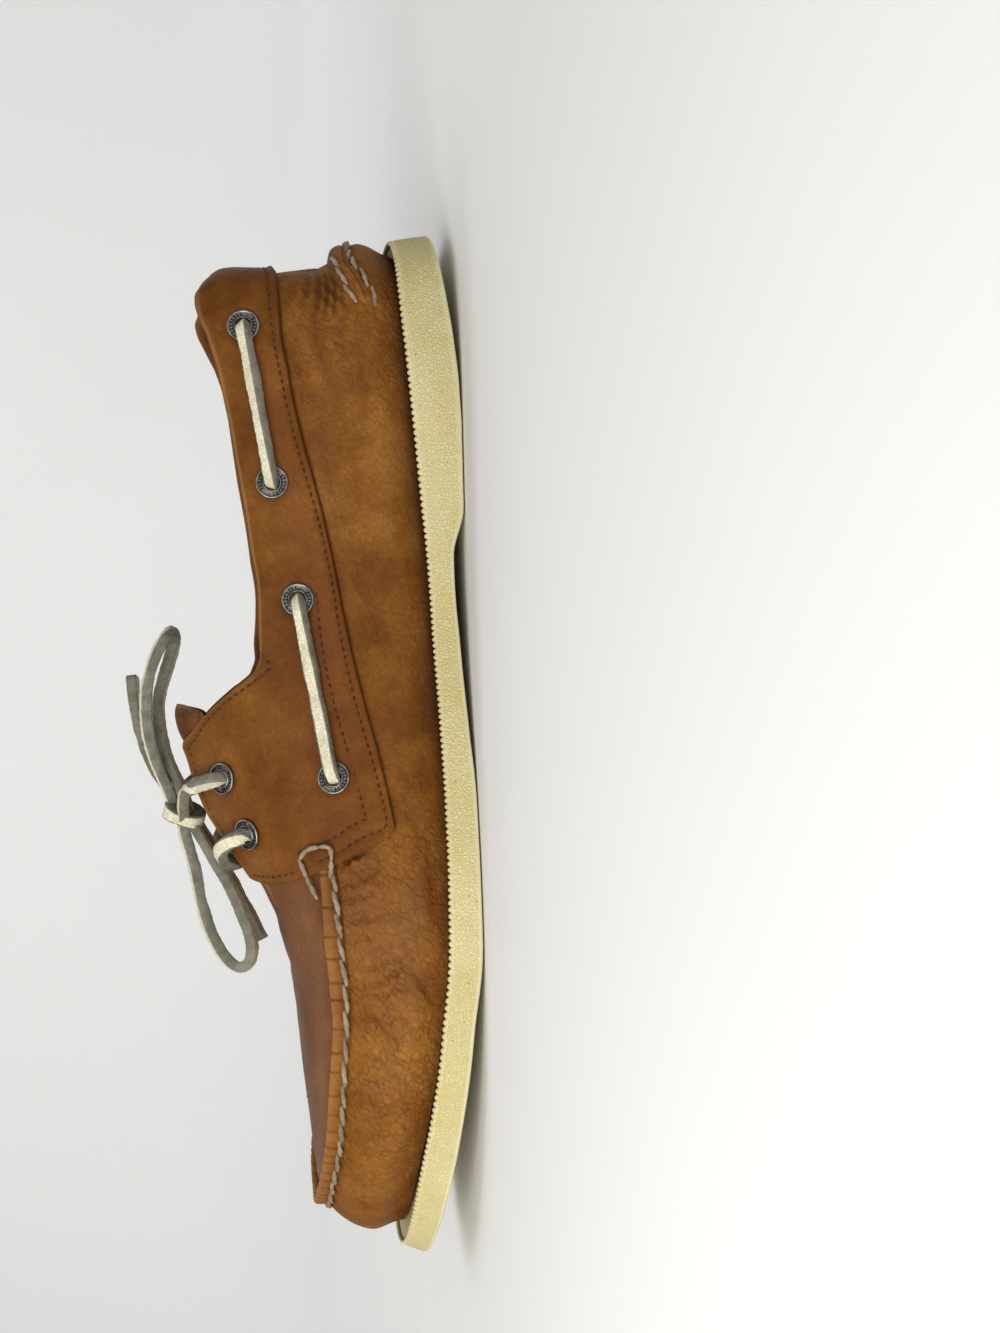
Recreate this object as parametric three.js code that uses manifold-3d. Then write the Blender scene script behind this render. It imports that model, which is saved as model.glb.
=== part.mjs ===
// Boat shoe for the left foot, standing empty on its sole.
// Millimetres. +X is the toe, +Y the outer side, +Z up; z = 0 is the ground under the heel and
// the ball, and x = 0 is the middle of the heel's flat tread.
import * as THREE from 'three';
import { mergeVertices } from 'three/addons/utils/BufferGeometryUtils.js';
import Module from 'manifold-3d';

const wasm = await Module();
wasm.setup();

// ---- driving dimensions -------------------------------------------------------------------

const LENGTH = 300;            // sole, heel to toe
const HEEL_REST_X = 60;        // middle of the heel's flat tread, from the back of the sole
const WALL = 2;                // upper's leather with its lining
const SADDLE = 1.7;            // collar band and lacing flaps, laid over the upper
const GAP = 0.3;               // air between neighbouring pieces
const TONGUE = 2.2;
const INSOLE = 3.5;
const SOLE_SAG = 0.6;          // how far the sole is modelled below the ground before it is cut flat
const TUCK = 3;                // the upper turns in this far where it meets the sole
const TUCK_HEIGHT = 10;
const COLUMNS = 31;            // mesh columns along each side of the shoe
const ROWS = 10;               // mesh rows from the sole up to the ridge

// Outline of the sole's lower edge. x runs from the back of the heel.
const SOLE_PLAN = [
  { x: 0, outer: 0, inner: 0 },
  { x: 3, outer: 17, inner: -17 },
  { x: 13, outer: 29, inner: -28 },
  { x: 36, outer: 35.5, inner: -33.5 },
  { x: 65, outer: 36, inner: -33 },
  { x: 95, outer: 36.5, inner: -31 },
  { x: 125, outer: 40, inner: -33 },
  { x: 155, outer: 47, inner: -40 },
  { x: 185, outer: 53, inner: -48.5 },
  { x: 213, outer: 54, inner: -53 },
  { x: 240, outer: 49, inner: -53 },
  { x: 264, outer: 38, inner: -48 },
  { x: 284, outer: 24, inner: -38 },
  { x: 296, outer: 9, inner: -25 },
  { x: 300, outer: -8, inner: -8 },
];

// Heights along the sole, and how far its upper edge and the upper stand inside its lower edge.
const SOLE_SIDE = [
  { x: 0, bottom: 4, top: 16.5, topInset: 1.5, upperInset: 2 },
  { x: 10, bottom: 2.8, top: 16.2, topInset: 1.5, upperInset: 2 },
  { x: 24, bottom: 1.2, top: 15.6, topInset: 1.5, upperInset: 2.3 },
  { x: 38, bottom: 0, top: 14.7, topInset: 1.5, upperInset: 2.5 },
  { x: 82, bottom: 0, top: 12.6, topInset: 1.5, upperInset: 2.5 },
  { x: 96, bottom: 3.6, top: 12, topInset: 1.5, upperInset: 2.5 },
  { x: 121, bottom: 2.5, top: 10.8, topInset: 1.5, upperInset: 2.5 },
  { x: 145, bottom: 1, top: 9.6, topInset: 1.5, upperInset: 2.5 },
  { x: 168, bottom: 0, top: 8.9, topInset: 1.5, upperInset: 2.5 },
  { x: 196, bottom: 0, top: 9, topInset: 1.5, upperInset: 2.5 },
  { x: 225, bottom: 2.7, top: 11.2, topInset: 1.8, upperInset: 2.8 },
  { x: 252, bottom: 5.5, top: 14.2, topInset: 2.5, upperInset: 3.2 },
  { x: 273, bottom: 8.3, top: 17.4, topInset: 4, upperInset: 4 },
  { x: 300, bottom: 13.8, top: 22.8, topInset: 7.5, upperInset: 6 },
];

// The last: height of its ridge and how square its section is (2 is an ellipse). Over the open
// collar the ridge is only a guide, and it is cut away.
const LAST = [
  { x: 0, ridge: 89, fullness: 4 },
  { x: 60, ridge: 89, fullness: 3.8 },
  { x: 100, ridge: 88, fullness: 3 },
  { x: 125, ridge: 86, fullness: 2.3 },
  { x: 140, ridge: 83, fullness: 2 },
  { x: 152, ridge: 78.5, fullness: 1.9 },
  { x: 162, ridge: 75, fullness: 1.9 },
  { x: 170, ridge: 70.5, fullness: 1.9 },
  { x: 180, ridge: 63.2, fullness: 1.95 },
  { x: 188, ridge: 57.8, fullness: 2 },
  { x: 200, ridge: 53.4, fullness: 2.1 },
  { x: 212, ridge: 50.2, fullness: 2.15 },
  { x: 235, ridge: 47.2, fullness: 2.4 },
  { x: 256, ridge: 44.8, fullness: 2.8 },
  { x: 300, ridge: 42, fullness: 2.9 },
];

// The fan of mesh columns runs from the outline to a spine above the middle of the foot.
const SPINE_BACK = 50;
const SPINE_FRONT = 255;
const SPINE_BEND = [
  { x: 50, y: 0.5 },
  { x: 120, y: 3 },
  { x: 180, y: 3 },
  { x: 255, y: -6 },
];

// Back of the heel: how far the leather stands in from the plain last, below and above the
// heel seam.
const HEEL_BACK = [
  { z: 14, inset: 2 },
  { z: 19, inset: 0 },
  { z: 25, inset: -1 },
  { z: 30, inset: 0.8 },
  { z: 32.5, inset: 2 },
  { z: 35.5, inset: 8 },
  { z: 51, inset: 7 },
  { z: 75, inset: 6 },
];
const HEEL_BACK_REACH = 40;    // it fades out this far along each side

// Upper edge of the quarters and flaps, seen from the side.
const TOPLINE = [
  { x: -12, z: 75 },
  { x: 10, z: 74 },
  { x: 22, z: 71.2 },
  { x: 34, z: 68 },
  { x: 52.5, z: 64.5 },
  { x: 68.4, z: 62.5 },
  { x: 92.6, z: 59 },
  { x: 110, z: 57.3 },
  { x: 120.5, z: 57.3 },
  { x: 125.5, z: 58.4 },
  { x: 131.4, z: 64.8 },
  { x: 137.2, z: 71.4 },
  { x: 142.9, z: 76.3 },
  { x: 148, z: 79.6 },
  { x: 155, z: 80 },
  { x: 164, z: 77 },
  { x: 172.5, z: 71 },
  { x: 180, z: 66.5 },
  { x: 190, z: 61 },
];

// Lower edge of the saddle, from the back of the heel to its front corner and up its front edge.
const SADDLE_EDGE = [
  { x: -12, z: 52.5 },
  { x: 8, z: 51 },
  { x: 29.4, z: 50.3 },
  { x: 44, z: 48.4 },
  { x: 58.7, z: 45.8 },
  { x: 73.6, z: 42.2 },
  { x: 88.4, z: 38.8 },
  { x: 111.8, z: 34.7 },
  { x: 135.3, z: 30 },
  { x: 150.6, z: 26.4 },
  { x: 169.8, z: 22.8 },
  { x: 173, z: 24.8 },
  { x: 176.2, z: 31.7 },
  { x: 180, z: 37.3 },
  { x: 183.4, z: 46.6 },
  { x: 185.5, z: 54 },
  { x: 185, z: 61 },
  { x: 183.5, z: 64.5 },
];

// Half width of the opening between the lacing flaps.
const THROAT = [
  { x: 96, half: 30 },
  { x: 124, half: 17 },
  { x: 136, half: 11.5 },
  { x: 150, half: 9.5 },
  { x: 165, half: 10.5 },
  { x: 178, half: 13 },
  { x: 194, half: 17 },
];
const UPPER_THROAT_END = 170;  // in front of this the plug closes the throat

// Tongue outline, seen from above.
const TONGUE_PLAN = [
  { x: 134.5, half: 8 },
  { x: 136, half: 13 },
  { x: 140, half: 17 },
  { x: 160, half: 21 },
  { x: 184, half: 20 },
  { x: 198, half: 15 },
];

// Moccasin seam round the toe: height of the seam for each place along the outline.
const TOE_SEAM = [
  { x: 170, z: 40.8 },
  { x: 184, z: 39.4 },
  { x: 204, z: 37.8 },
  { x: 224, z: 36.6 },
  { x: 244, z: 37.4 },
  { x: 265, z: 38.2 },
  { x: 285, z: 39.8 },
  { x: 300, z: 40.4 },
];
const LIP_START = 188;         // where the toe lip comes out from under the saddle
const LIP_HEIGHT = 4.6;
const LIP_THICKNESS = 2.4;

const HEEL_LIP = { z: 32, thickness: 3, proud: 0.8, reach: 19 };

// Eyelets on each side: place seen from the side.
const EYELETS = [
  { name: 'eyelet_1', x: 31.2, z: 60 },
  { name: 'eyelet_2', x: 74.7, z: 53.2 },
  { name: 'eyelet_3', x: 107.2, z: 46.9 },
  { name: 'eyelet_4', x: 156.4, z: 38.5 },
  { name: 'eyelet_5', x: 156.4, z: 68.5 },
  { name: 'eyelet_6', x: 171.9, z: 62 },
];
const EYELET = { flange: 4.8, barrel: 2.5, bore: 2.1, seat: 0.45, rise: 1.3, depth: 3.2, sides: 8 };
const EYELET_HOLE = 2.95;

// Rawhide lace. Its bars run outside the leather between two eyelets of one side.
const LACE = { width: 4, thickness: 3, step: 6.4, start: 2.5 };
const LACE_BARS = [
  { name: 'lace_bar_rear', from: 'eyelet_1', to: 'eyelet_2' },
  { name: 'lace_bar_front', from: 'eyelet_3', to: 'eyelet_4' },
];

// The bow, by hand: x from the back of the heel, y outward, z up.
const KNOT = { x: 167, y: 3, z: 80.4, halfX: 4.6, halfY: 5.2, halfZ: 5.4 };
const BOW = {
  bow_loop_front: [
    [172.4, 4, 79.8], [182.9, 7, 77], [192.7, 9, 75.4], [201, 12, 72.7], [207.3, 15, 68.7],
    [210.3, 17, 65.2], [209, 18, 62.6], [203.6, 17, 61.9], [195.3, 15, 63.8], [186.8, 11.5, 67.5],
    [180.7, 8.5, 71], [172.8, 6, 75.6],
  ],
  bow_end_front: [
    [171, 0, 75.6], [179.1, 1, 71], [185.1, 3, 67.6], [195, 6, 62.4], [203.8, 8, 58.2],
  ],
  bow_loop_rear: [
    [161.7, 3, 83.6], [151.2, 5, 87.6], [141.1, 6, 89.6], [131.1, 7, 89.4], [121.8, 9, 86.6],
    [116.5, 11, 82.8], [115.8, 12, 79.8], [119.6, 11, 79], [126.2, 10, 82.2], [134.1, 9, 85.4],
    [142.7, 7, 85.3], [152.8, 5, 83.2], [161.2, 3.6, 79.7],
  ],
  bow_end_rear: [
    [162, -1.6, 83], [152.9, -4, 88.6], [142.7, -7, 92], [134, -10, 93.6], [127.2, -12, 94],
  ],
};
// The lace's way from the last eyelet on each side up to the knot, past the eyelet itself.
const LEAD_OUTER = [
  [157.3, 24.4, 73.4], [159.1, 17.5, 77.6], [161.4, 12.5, 79.5], [165.4, 9.2, 79.8],
];
const LEAD_INNER = [
  [157.2, -18.2, 73.7], [159.3, -11.2, 78.2], [162, -6.6, 80.2], [165, -3.4, 81],
];
// Where the lace crosses the plug between the two front eyelets.
const CROSSING = [
  [173.9, 28, 67.2], [177, 21.8, 69.6], [179.8, 17, 68.8], [181.2, 11, 65.8], [181.4, 3, 64.7],
  [181.2, -5, 65.8], [179.8, -11, 68.8], [177, -15.8, 69.6], [173.9, -22, 67.2],
];

const MATERIALS = {
  sole: new THREE.MeshStandardMaterial({ color: 0xd9cdb4, roughness: 0.8 }),
  insole: new THREE.MeshStandardMaterial({ color: 0x8a6a4a, roughness: 0.8 }),
  upper: new THREE.MeshStandardMaterial({ color: 0x9a5a2e, roughness: 0.5 }),
  saddle: new THREE.MeshStandardMaterial({ color: 0x8f5128, roughness: 0.5 }),
  tongue: new THREE.MeshStandardMaterial({ color: 0x7d4722, roughness: 0.6 }),
  eyelet: new THREE.MeshStandardMaterial({ color: 0x8d877c, roughness: 0.35, metalness: 1 }),
  lace: new THREE.MeshStandardMaterial({ color: 0xd8cfbe, roughness: 0.6 }),
};

// ---- curves -------------------------------------------------------------------------------

const smoothstep = THREE.MathUtils.smoothstep;
const lerp = THREE.MathUtils.lerp;

// A smooth function through a table's column, with flat ends outside the table.
function through(table, key, value) {
  const slope = (a, b) => (table[b][value] - table[a][value]) / (table[b][key] - table[a][key]);
  const last = table.length - 1;
  const slopes = table.map((row, k) => {
    if (k === 0 || k === last) return 0;
    const before = slope(k - 1, k);
    const after = slope(k, k + 1);
    return before * after <= 0 ? 0 : (2 * before * after) / (before + after);
  });
  slopes[0] = slope(0, 1);
  slopes[last] = slope(last - 1, last);
  return (at) => {
    if (at <= table[0][key]) return table[0][value];
    if (at >= table[last][key]) return table[last][value];
    let k = 0;
    while (at > table[k + 1][key]) k += 1;
    const span = table[k + 1][key] - table[k][key];
    const t = (at - table[k][key]) / span;
    const from = table[k][value] + slopes[k] * span * t;
    const to = table[k + 1][value] - slopes[k + 1] * span * (1 - t);
    return lerp(from, to, t * t * (3 - 2 * t));
  };
}

const soleBottom = through(SOLE_SIDE, 'x', 'bottom');
const soleTop = through(SOLE_SIDE, 'x', 'top');
const topInset = through(SOLE_SIDE, 'x', 'topInset');
const upperInset = through(SOLE_SIDE, 'x', 'upperInset');
const ridge = through(LAST, 'x', 'ridge');
const fullness = through(LAST, 'x', 'fullness');
const spineBend = through(SPINE_BEND, 'x', 'y');
const heelBack = through(HEEL_BACK, 'z', 'inset');
const toeSeam = through(TOE_SEAM, 'x', 'z');

// The sole's outline as a closed ring of points: heel to toe along the outer side, then back.
function planRing() {
  const steps = 24;
  const outer = SOLE_PLAN.map((row) => new THREE.Vector3(row.x, row.outer, 0));
  const inner = SOLE_PLAN.slice(1, -1).reverse().map((row) => new THREE.Vector3(row.x, row.inner, 0));
  const all = [...outer, ...inner];
  const fine = new THREE.CatmullRomCurve3(all, true, 'centripetal').getPoints(all.length * steps);
  const toe = (outer.length - 1) * steps;
  const evenly = (points) => {
    const reach = [0];
    points.slice(1).forEach((p, k) => reach.push(reach[k] + p.distanceTo(points[k])));
    const picked = [];
    for (let i = 0, k = 0; i < COLUMNS; i += 1) {
      const want = (reach.at(-1) * i) / COLUMNS;
      while (reach[k + 1] < want) k += 1;
      const t = (want - reach[k]) / (reach[k + 1] - reach[k]);
      picked.push(points[k].clone().lerp(points[k + 1], t));
    }
    return picked;
  };
  return [...evenly(fine.slice(0, toe + 1)), ...evenly(fine.slice(toe))];
}

const PLAN = planRing();
const RING = PLAN.length;
const INWARD = PLAN.map((_, i) => {
  const along = PLAN[(i + 1) % RING].clone().sub(PLAN[(i + RING - 1) % RING]).normalize();
  return new THREE.Vector3(along.y, -along.x, 0);
});
// Distance along the outline from the back of the heel, on either side.
const FROM_HEEL = (() => {
  const reach = [0];
  for (let i = 1; i < RING; i += 1) reach.push(reach[i - 1] + PLAN[i].distanceTo(PLAN[i - 1]));
  const total = reach.at(-1) + PLAN[0].distanceTo(PLAN[RING - 1]);
  return reach.map((r) => Math.min(r, total - r));
})();

const spineIndex = (i) => (i <= COLUMNS ? i : RING - i);

// Plan of one column's foot, inset from the sole's lower edge.
function footOf(i, inset) {
  return PLAN[i].clone().addScaledVector(INWARD[i], inset);
}

// Plan of the spine point that column i runs to.
function spineOf(i) {
  const j = spineIndex(i);
  const along = PLAN[j].x / LENGTH;
  const x = lerp(SPINE_BACK, SPINE_FRONT, along);
  return new THREE.Vector3(x, spineBend(x), 0);
}

// A point on the last, grown outward by grow: column i, rise 0 at the sole and 1 at the ridge.
function lastPoint(i, rise, grow) {
  const outlineX = PLAN[i].x;
  const foot = footOf(i, upperInset(outlineX) - grow);
  const spine = spineOf(i);
  const bottom = soleTop(outlineX) + GAP;
  const top = ridge(spine.x) + grow;
  const power = fullness(outlineX);
  const inwardShare = 1 - (1 - rise ** power) ** (1 / power);
  const point = foot.lerp(spine, inwardShare);
  point.z = lerp(bottom, top, rise);
  const tuck = TUCK * (1 - smoothstep(point.z - bottom, 0, TUCK_HEIGHT));
  const heel = heelBack(point.z) * (1 - smoothstep(FROM_HEEL[i], 8, HEEL_BACK_REACH));
  return point.addScaledVector(INWARD[i], tuck + heel);
}

// ---- solids -------------------------------------------------------------------------------

function toSolid(geometry) {
  geometry.deleteAttribute('normal');
  geometry.deleteAttribute('uv');
  const merged = mergeVertices(geometry, 1e-4);
  const vertProperties = new Float32Array(merged.attributes.position.array);
  const triVerts = new Uint32Array(merged.index.array);
  return new wasm.Manifold(new wasm.Mesh({ numProp: 3, vertProperties, triVerts }));
}

function geometryOf(points, triangles) {
  const geometry = new THREE.BufferGeometry().setFromPoints(points);
  geometry.setIndex(triangles);
  return geometry;
}

// A closed body from a lower spine, rings of points round the shoe, and an upper spine.
function ringBody(lowerSpine, rings, upperSpine) {
  const points = [...lowerSpine, ...rings.flat(), ...upperSpine];
  const ringStart = (k) => COLUMNS + 1 + k * RING;
  const topStart = ringStart(rings.length);
  const triangles = [];
  const quad = (a, b, c, d) => {
    if (a !== b) triangles.push(a, c, b);
    if (c !== d) triangles.push(a, d, c);
  };
  for (let i = 0; i < RING; i += 1) {
    const next = (i + 1) % RING;
    const low = [spineIndex(i), spineIndex(next)];
    quad(low[0], low[1], ringStart(0) + next, ringStart(0) + i);
    for (let k = 0; k + 1 < rings.length; k += 1) {
      const [here, up] = [ringStart(k), ringStart(k + 1)];
      quad(here + i, here + next, up + next, up + i);
    }
    const upper = ringStart(rings.length - 1);
    quad(upper + i, upper + next, topStart + low[1], topStart + low[0]);
  }
  return toSolid(geometryOf(points, triangles));
}

function spinePoints(heightAt) {
  return Array.from({ length: COLUMNS + 1 }, (_, j) => {
    const point = spineOf(j);
    point.z = heightAt(point.x, j);
    return point;
  });
}

function ringPoints(pointAt) {
  return Array.from({ length: RING }, (_, i) => pointAt(i));
}

// The last grown by grow and, if asked, carried a little below the sole's top.
function lastBody(grow, below = 0) {
  const foot = ringPoints((i) => {
    const point = lastPoint(i, 0, grow);
    point.z -= below;
    return point;
  });
  const rows = [];
  for (let k = below > 0 ? 0 : 1; k < ROWS; k += 1) {
    const rise = Math.sin((Math.PI / 2) * (k / ROWS));
    rows.push(ringPoints((i) => lastPoint(i, rise, grow)));
  }
  const under = spinePoints((x) => soleTop(x) + GAP - below);
  return ringBody(under, [foot, ...rows], spinePoints((x) => ridge(x) + grow));
}

// A slab that follows the sole: its outline is inset at the bottom and the top.
function soleSlab(bottomInset, topInsetAt, bottomAt, topAt) {
  const ringAt = (insetAt, share, heightAt) => ringPoints((i) => {
    const point = footOf(i, insetAt(PLAN[i].x));
    point.lerp(spineOf(i), share);
    point.z = heightAt(point.x);
    return point;
  });
  const rings = [
    ringAt(bottomInset, 0.5, bottomAt),
    ringAt(bottomInset, 0, bottomAt),
    ringAt(topInsetAt, 0, topAt),
    ringAt(topInsetAt, 0.5, topAt),
  ];
  return ringBody(spinePoints(bottomAt), rings, spinePoints(topAt));
}

// A prism from a side view outline (x, z), running across the shoe.
function sidePrism(outline) {
  const shape = new THREE.Shape(outline.map((p) => new THREE.Vector2(p.x, p.z)));
  const geometry = new THREE.ExtrudeGeometry(shape, { depth: 240, bevelEnabled: false });
  geometry.rotateX(Math.PI / 2);
  geometry.translate(0, 120, 0);
  return toSolid(geometry);
}

// A prism from a top view table of half widths about the spine, running upward.
function topPrism(table, floor) {
  const far = table.map((row) => new THREE.Vector2(row.x, spineBend(row.x) + row.half));
  const near = table.map((row) => new THREE.Vector2(row.x, spineBend(row.x) - row.half)).reverse();
  const geometry = new THREE.ExtrudeGeometry(new THREE.Shape([...far, ...near]), {
    depth: 120,
    bevelEnabled: false,
  });
  geometry.translate(0, 0, floor);
  return toSolid(geometry);
}

// A closed body from equal cross-sections, each a list of points, with flat ends.
function sweptBody(sections) {
  const sides = sections[0].length;
  const points = sections.flat();
  const triangles = [];
  for (let s = 0; s + 1 < sections.length; s += 1) {
    for (let k = 0; k < sides; k += 1) {
      const [a, b] = [s * sides + k, s * sides + ((k + 1) % sides)];
      triangles.push(a, b + sides, b, a, a + sides, b + sides);
    }
  }
  const end = (sections.length - 1) * sides;
  for (let k = 1; k + 1 < sides; k += 1) {
    triangles.push(0, k, k + 1, end, end + k + 1, end + k);
  }
  return toSolid(geometryOf(points, triangles));
}

function toGeometry(solid) {
  const mesh = solid.getMesh();
  const geometry = new THREE.BufferGeometry();
  geometry.setAttribute('position', new THREE.BufferAttribute(mesh.vertProperties, 3));
  geometry.setIndex(new THREE.BufferAttribute(mesh.triVerts, 1));
  return geometry;
}

const shoe = new THREE.Group();
shoe.position.x = -HEEL_REST_X;

function addPiece(name, solid, material) {
  const mesh = new THREE.Mesh(toGeometry(solid), material);
  mesh.name = name;
  shoe.add(mesh);
  return mesh;
}

// ---- sole and insole ----------------------------------------------------------------------

const groundBox = new THREE.BoxGeometry(LENGTH * 2, 240, 20);
groundBox.translate(LENGTH / 2, 0, -10);

function makeOutsole() {
  const bottomAt = (x) => soleBottom(x) - SOLE_SAG * Number(soleBottom(x) < SOLE_SAG / 4);
  const slab = soleSlab(() => 0, topInset, bottomAt, soleTop);
  return slab.subtract(toSolid(groundBox));
}

function makeInsole() {
  const whole = () => 0;
  const slab = soleSlab(whole, whole, (x) => soleTop(x) - 1, (x) => soleTop(x) + GAP + INSOLE);
  return lastBody(-WALL - GAP).intersect(slab);
}

// ---- upper --------------------------------------------------------------------------------

// Everything above the topline, as a side view prism.
function aboveTopline(lift) {
  const edge = TOPLINE.map((row) => ({ x: row.x, z: row.z + lift }));
  return sidePrism([...edge, { x: edge.at(-1).x, z: 130 }, { x: edge[0].x, z: 130 }]);
}

function throatPrism(end) {
  const halfAt = through(THROAT, 'x', 'half');
  const rows = THROAT.filter((row) => row.x < end);
  return topPrism([...rows, { x: end, half: halfAt(end) }], 40);
}

// How far up the last the moccasin seam runs at column i.
function seamRise(i) {
  const bottom = soleTop(PLAN[i].x) + GAP;
  return (toeSeam(PLAN[i].x) - bottom) / (ridge(spineOf(i).x) - bottom);
}

// The upstanding, gathered lip of the moccasin seam round the toe.
function toeLip() {
  const columns = PLAN.map((_, i) => i).filter((i) => lastPoint(i, seamRise(i), 0).x > LIP_START);
  const sections = columns.map((i, k) => {
    const ends = Math.min(k, columns.length - 1 - k);
    const height = LIP_HEIGHT * smoothstep(ends, -2, 2.5);
    const foot = lastPoint(i, seamRise(i), -1.2);
    const across = INWARD[i].clone().multiplyScalar(LIP_THICKNESS / 2);
    const crown = new THREE.Vector3(0, 0, height + 1.2);
    return [
      foot.clone().sub(across),
      foot.clone().add(across),
      foot.clone().add(crown).addScaledVector(across, 0.7),
      foot.clone().add(crown).addScaledVector(across, -0.7),
    ];
  });
  return sweptBody(sections);
}

// The gathered lip that closes the back of the heel.
function heelLip() {
  const order = [...Array(RING).keys()].map((k) => (RING / 2 - k + RING) % RING);
  const columns = order.filter((i) => FROM_HEEL[i] < HEEL_LIP.reach);
  const sections = columns.map((i) => {
    const rise = (HEEL_LIP.z - soleTop(0)) / (ridge(SPINE_BACK) - soleTop(0));
    const skin = lastPoint(i, rise, 0);
    const proud = HEEL_LIP.proud * (1 - smoothstep(FROM_HEEL[i], 6, HEEL_LIP.reach + 2)) + 0.4;
    const root = skin.clone().addScaledVector(INWARD[i], 1);
    const rim = skin.clone().addScaledVector(INWARD[i], -proud);
    root.z = HEEL_LIP.z;
    rim.z = HEEL_LIP.z;
    const half = new THREE.Vector3(0, 0, HEEL_LIP.thickness / 2);
    const under = [root.clone().sub(half), rim.clone().sub(half)];
    return [...under, rim.add(half), root.add(half)];
  });
  return sweptBody(sections);
}

function makeUpper() {
  return lastBody(0)
    .subtract(lastBody(-WALL, 1))
    .subtract(aboveTopline(-1))
    .subtract(throatPrism(UPPER_THROAT_END))
    .add(toeLip())
    .add(heelLip());
}

function makeSaddle() {
  const outline = [...SADDLE_EDGE, ...TOPLINE.slice(0, -1).reverse()];
  return lastBody(GAP + SADDLE)
    .subtract(lastBody(GAP, 1))
    .intersect(sidePrism(outline))
    .subtract(throatPrism(THROAT.at(-1).x));
}

function makeTongue() {
  return lastBody(-WALL - GAP)
    .subtract(lastBody(-WALL - GAP - TONGUE, 1))
    .intersect(topPrism(TONGUE_PLAN, 45));
}

// ---- eyelets ------------------------------------------------------------------------------

const saddleSkin = new THREE.Mesh(
  toGeometry(lastBody(GAP + SADDLE)),
  new THREE.MeshBasicMaterial({ side: THREE.DoubleSide }),
);
saddleSkin.updateMatrixWorld();

// Where the saddle's outside is met from one side of the shoe, at a place in the side view.
function hitSaddle(side, x, z) {
  const ray = new THREE.Raycaster(new THREE.Vector3(x, 120 * side, z), new THREE.Vector3(0, -side, 0));
  return ray.intersectObject(saddleSkin)[0].point;
}

function skinAt(side, x, z) {
  const reach = 4;
  const along = hitSaddle(side, x + reach, z).sub(hitSaddle(side, x - reach, z));
  const up = hitSaddle(side, x, z + reach).sub(hitSaddle(side, x, z - reach));
  const normal = up.cross(along).multiplyScalar(side).normalize();
  return { point: hitSaddle(side, x, z), normal };
}

function placed(geometry, at) {
  const turn = new THREE.Quaternion().setFromUnitVectors(new THREE.Vector3(0, 1, 0), at.normal);
  geometry.applyQuaternion(turn);
  geometry.translate(at.point.x, at.point.y, at.point.z);
  return geometry;
}

function eyeletGeometry(at) {
  const e = EYELET;
  const profile = [
    [e.bore, -e.depth], [e.barrel, -e.depth], [e.barrel, e.seat], [e.flange, e.seat],
    [e.flange * 0.75, e.rise], [e.bore, e.rise * 0.7], [e.bore, -e.depth],
  ].map(([r, y]) => new THREE.Vector2(r, y));
  return placed(new THREE.LatheGeometry(profile, e.sides), at);
}

function eyeletHole(at) {
  return toSolid(placed(new THREE.CylinderGeometry(EYELET_HOLE, EYELET_HOLE, 14, EYELET.sides), at));
}

// ---- lace ---------------------------------------------------------------------------------

const LACE_SECTION = (() => {
  const [w, t] = [LACE.width / 2, LACE.thickness / 2];
  const corner = [[w, -t / 2], [w, t / 2], [w / 2, t], [-w / 2, t]];
  return [...corner, ...corner.map(([a, b]) => [-a, -b])];
})();

// A strip of lace along a curve through points, its wide side along across.
function laceBody(points, across) {
  const curve = new THREE.CatmullRomCurve3(points, false, 'centripetal');
  const count = Math.max(4, Math.round(curve.getLength() / LACE.step));
  const sections = Array.from({ length: count + 1 }, (_, k) => {
    const centre = curve.getPointAt(k / count);
    const along = curve.getTangentAt(k / count);
    const side = across.clone().addScaledVector(along, -across.dot(along)).normalize();
    const up = side.clone().cross(along);
    const corner = ([a, b]) => centre.clone().addScaledVector(side, a).addScaledVector(up, b);
    return LACE_SECTION.map(corner);
  });
  return sweptBody(sections);
}

// A bar from one eyelet to another, lying on the saddle.
function laceBar(side, from, to) {
  const ends = [skinAt(side, from.x, from.z), skinAt(side, to.x, to.z)];
  const above = (at, height) => at.point.clone().addScaledVector(at.normal, height);
  const along = ends[1].point.clone().sub(ends[0].point).normalize();
  const between = [0.3, 0.5, 0.7].map((share) => {
    const x = lerp(from.x, to.x, share);
    return above(skinAt(side, x, lerp(from.z, to.z, share)), 2.4);
  });
  const points = [
    above(ends[0], LACE.start),
    above(ends[0], 4).addScaledVector(along, 3),
    ...between,
    above(ends[1], 4).addScaledVector(along, -3),
    above(ends[1], LACE.start),
  ];
  const across = along.clone().cross(ends[0].normal.clone().add(ends[1].normal)).normalize();
  return laceBody(points, across);
}

// ---- assembly -----------------------------------------------------------------------------

const SIDES = [{ suffix: 'outer', sign: 1 }, { suffix: 'inner', sign: -1 }];

let upper = makeUpper();
let saddle = makeSaddle();
for (const side of SIDES) {
  for (const place of EYELETS) {
    const at = skinAt(side.sign, place.x, place.z);
    upper = upper.subtract(eyeletHole(at));
    saddle = saddle.subtract(eyeletHole(at));
    const eyelet = new THREE.Mesh(eyeletGeometry(at), MATERIALS.eyelet);
    eyelet.name = `${place.name}_${side.suffix}`;
    shoe.add(eyelet);
  }
}
addPiece('outsole', makeOutsole(), MATERIALS.sole);
addPiece('insole', makeInsole(), MATERIALS.insole);
addPiece('upper', upper, MATERIALS.upper);
addPiece('collar_saddle', saddle, MATERIALS.saddle);
addPiece('tongue', makeTongue(), MATERIALS.tongue);

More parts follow.
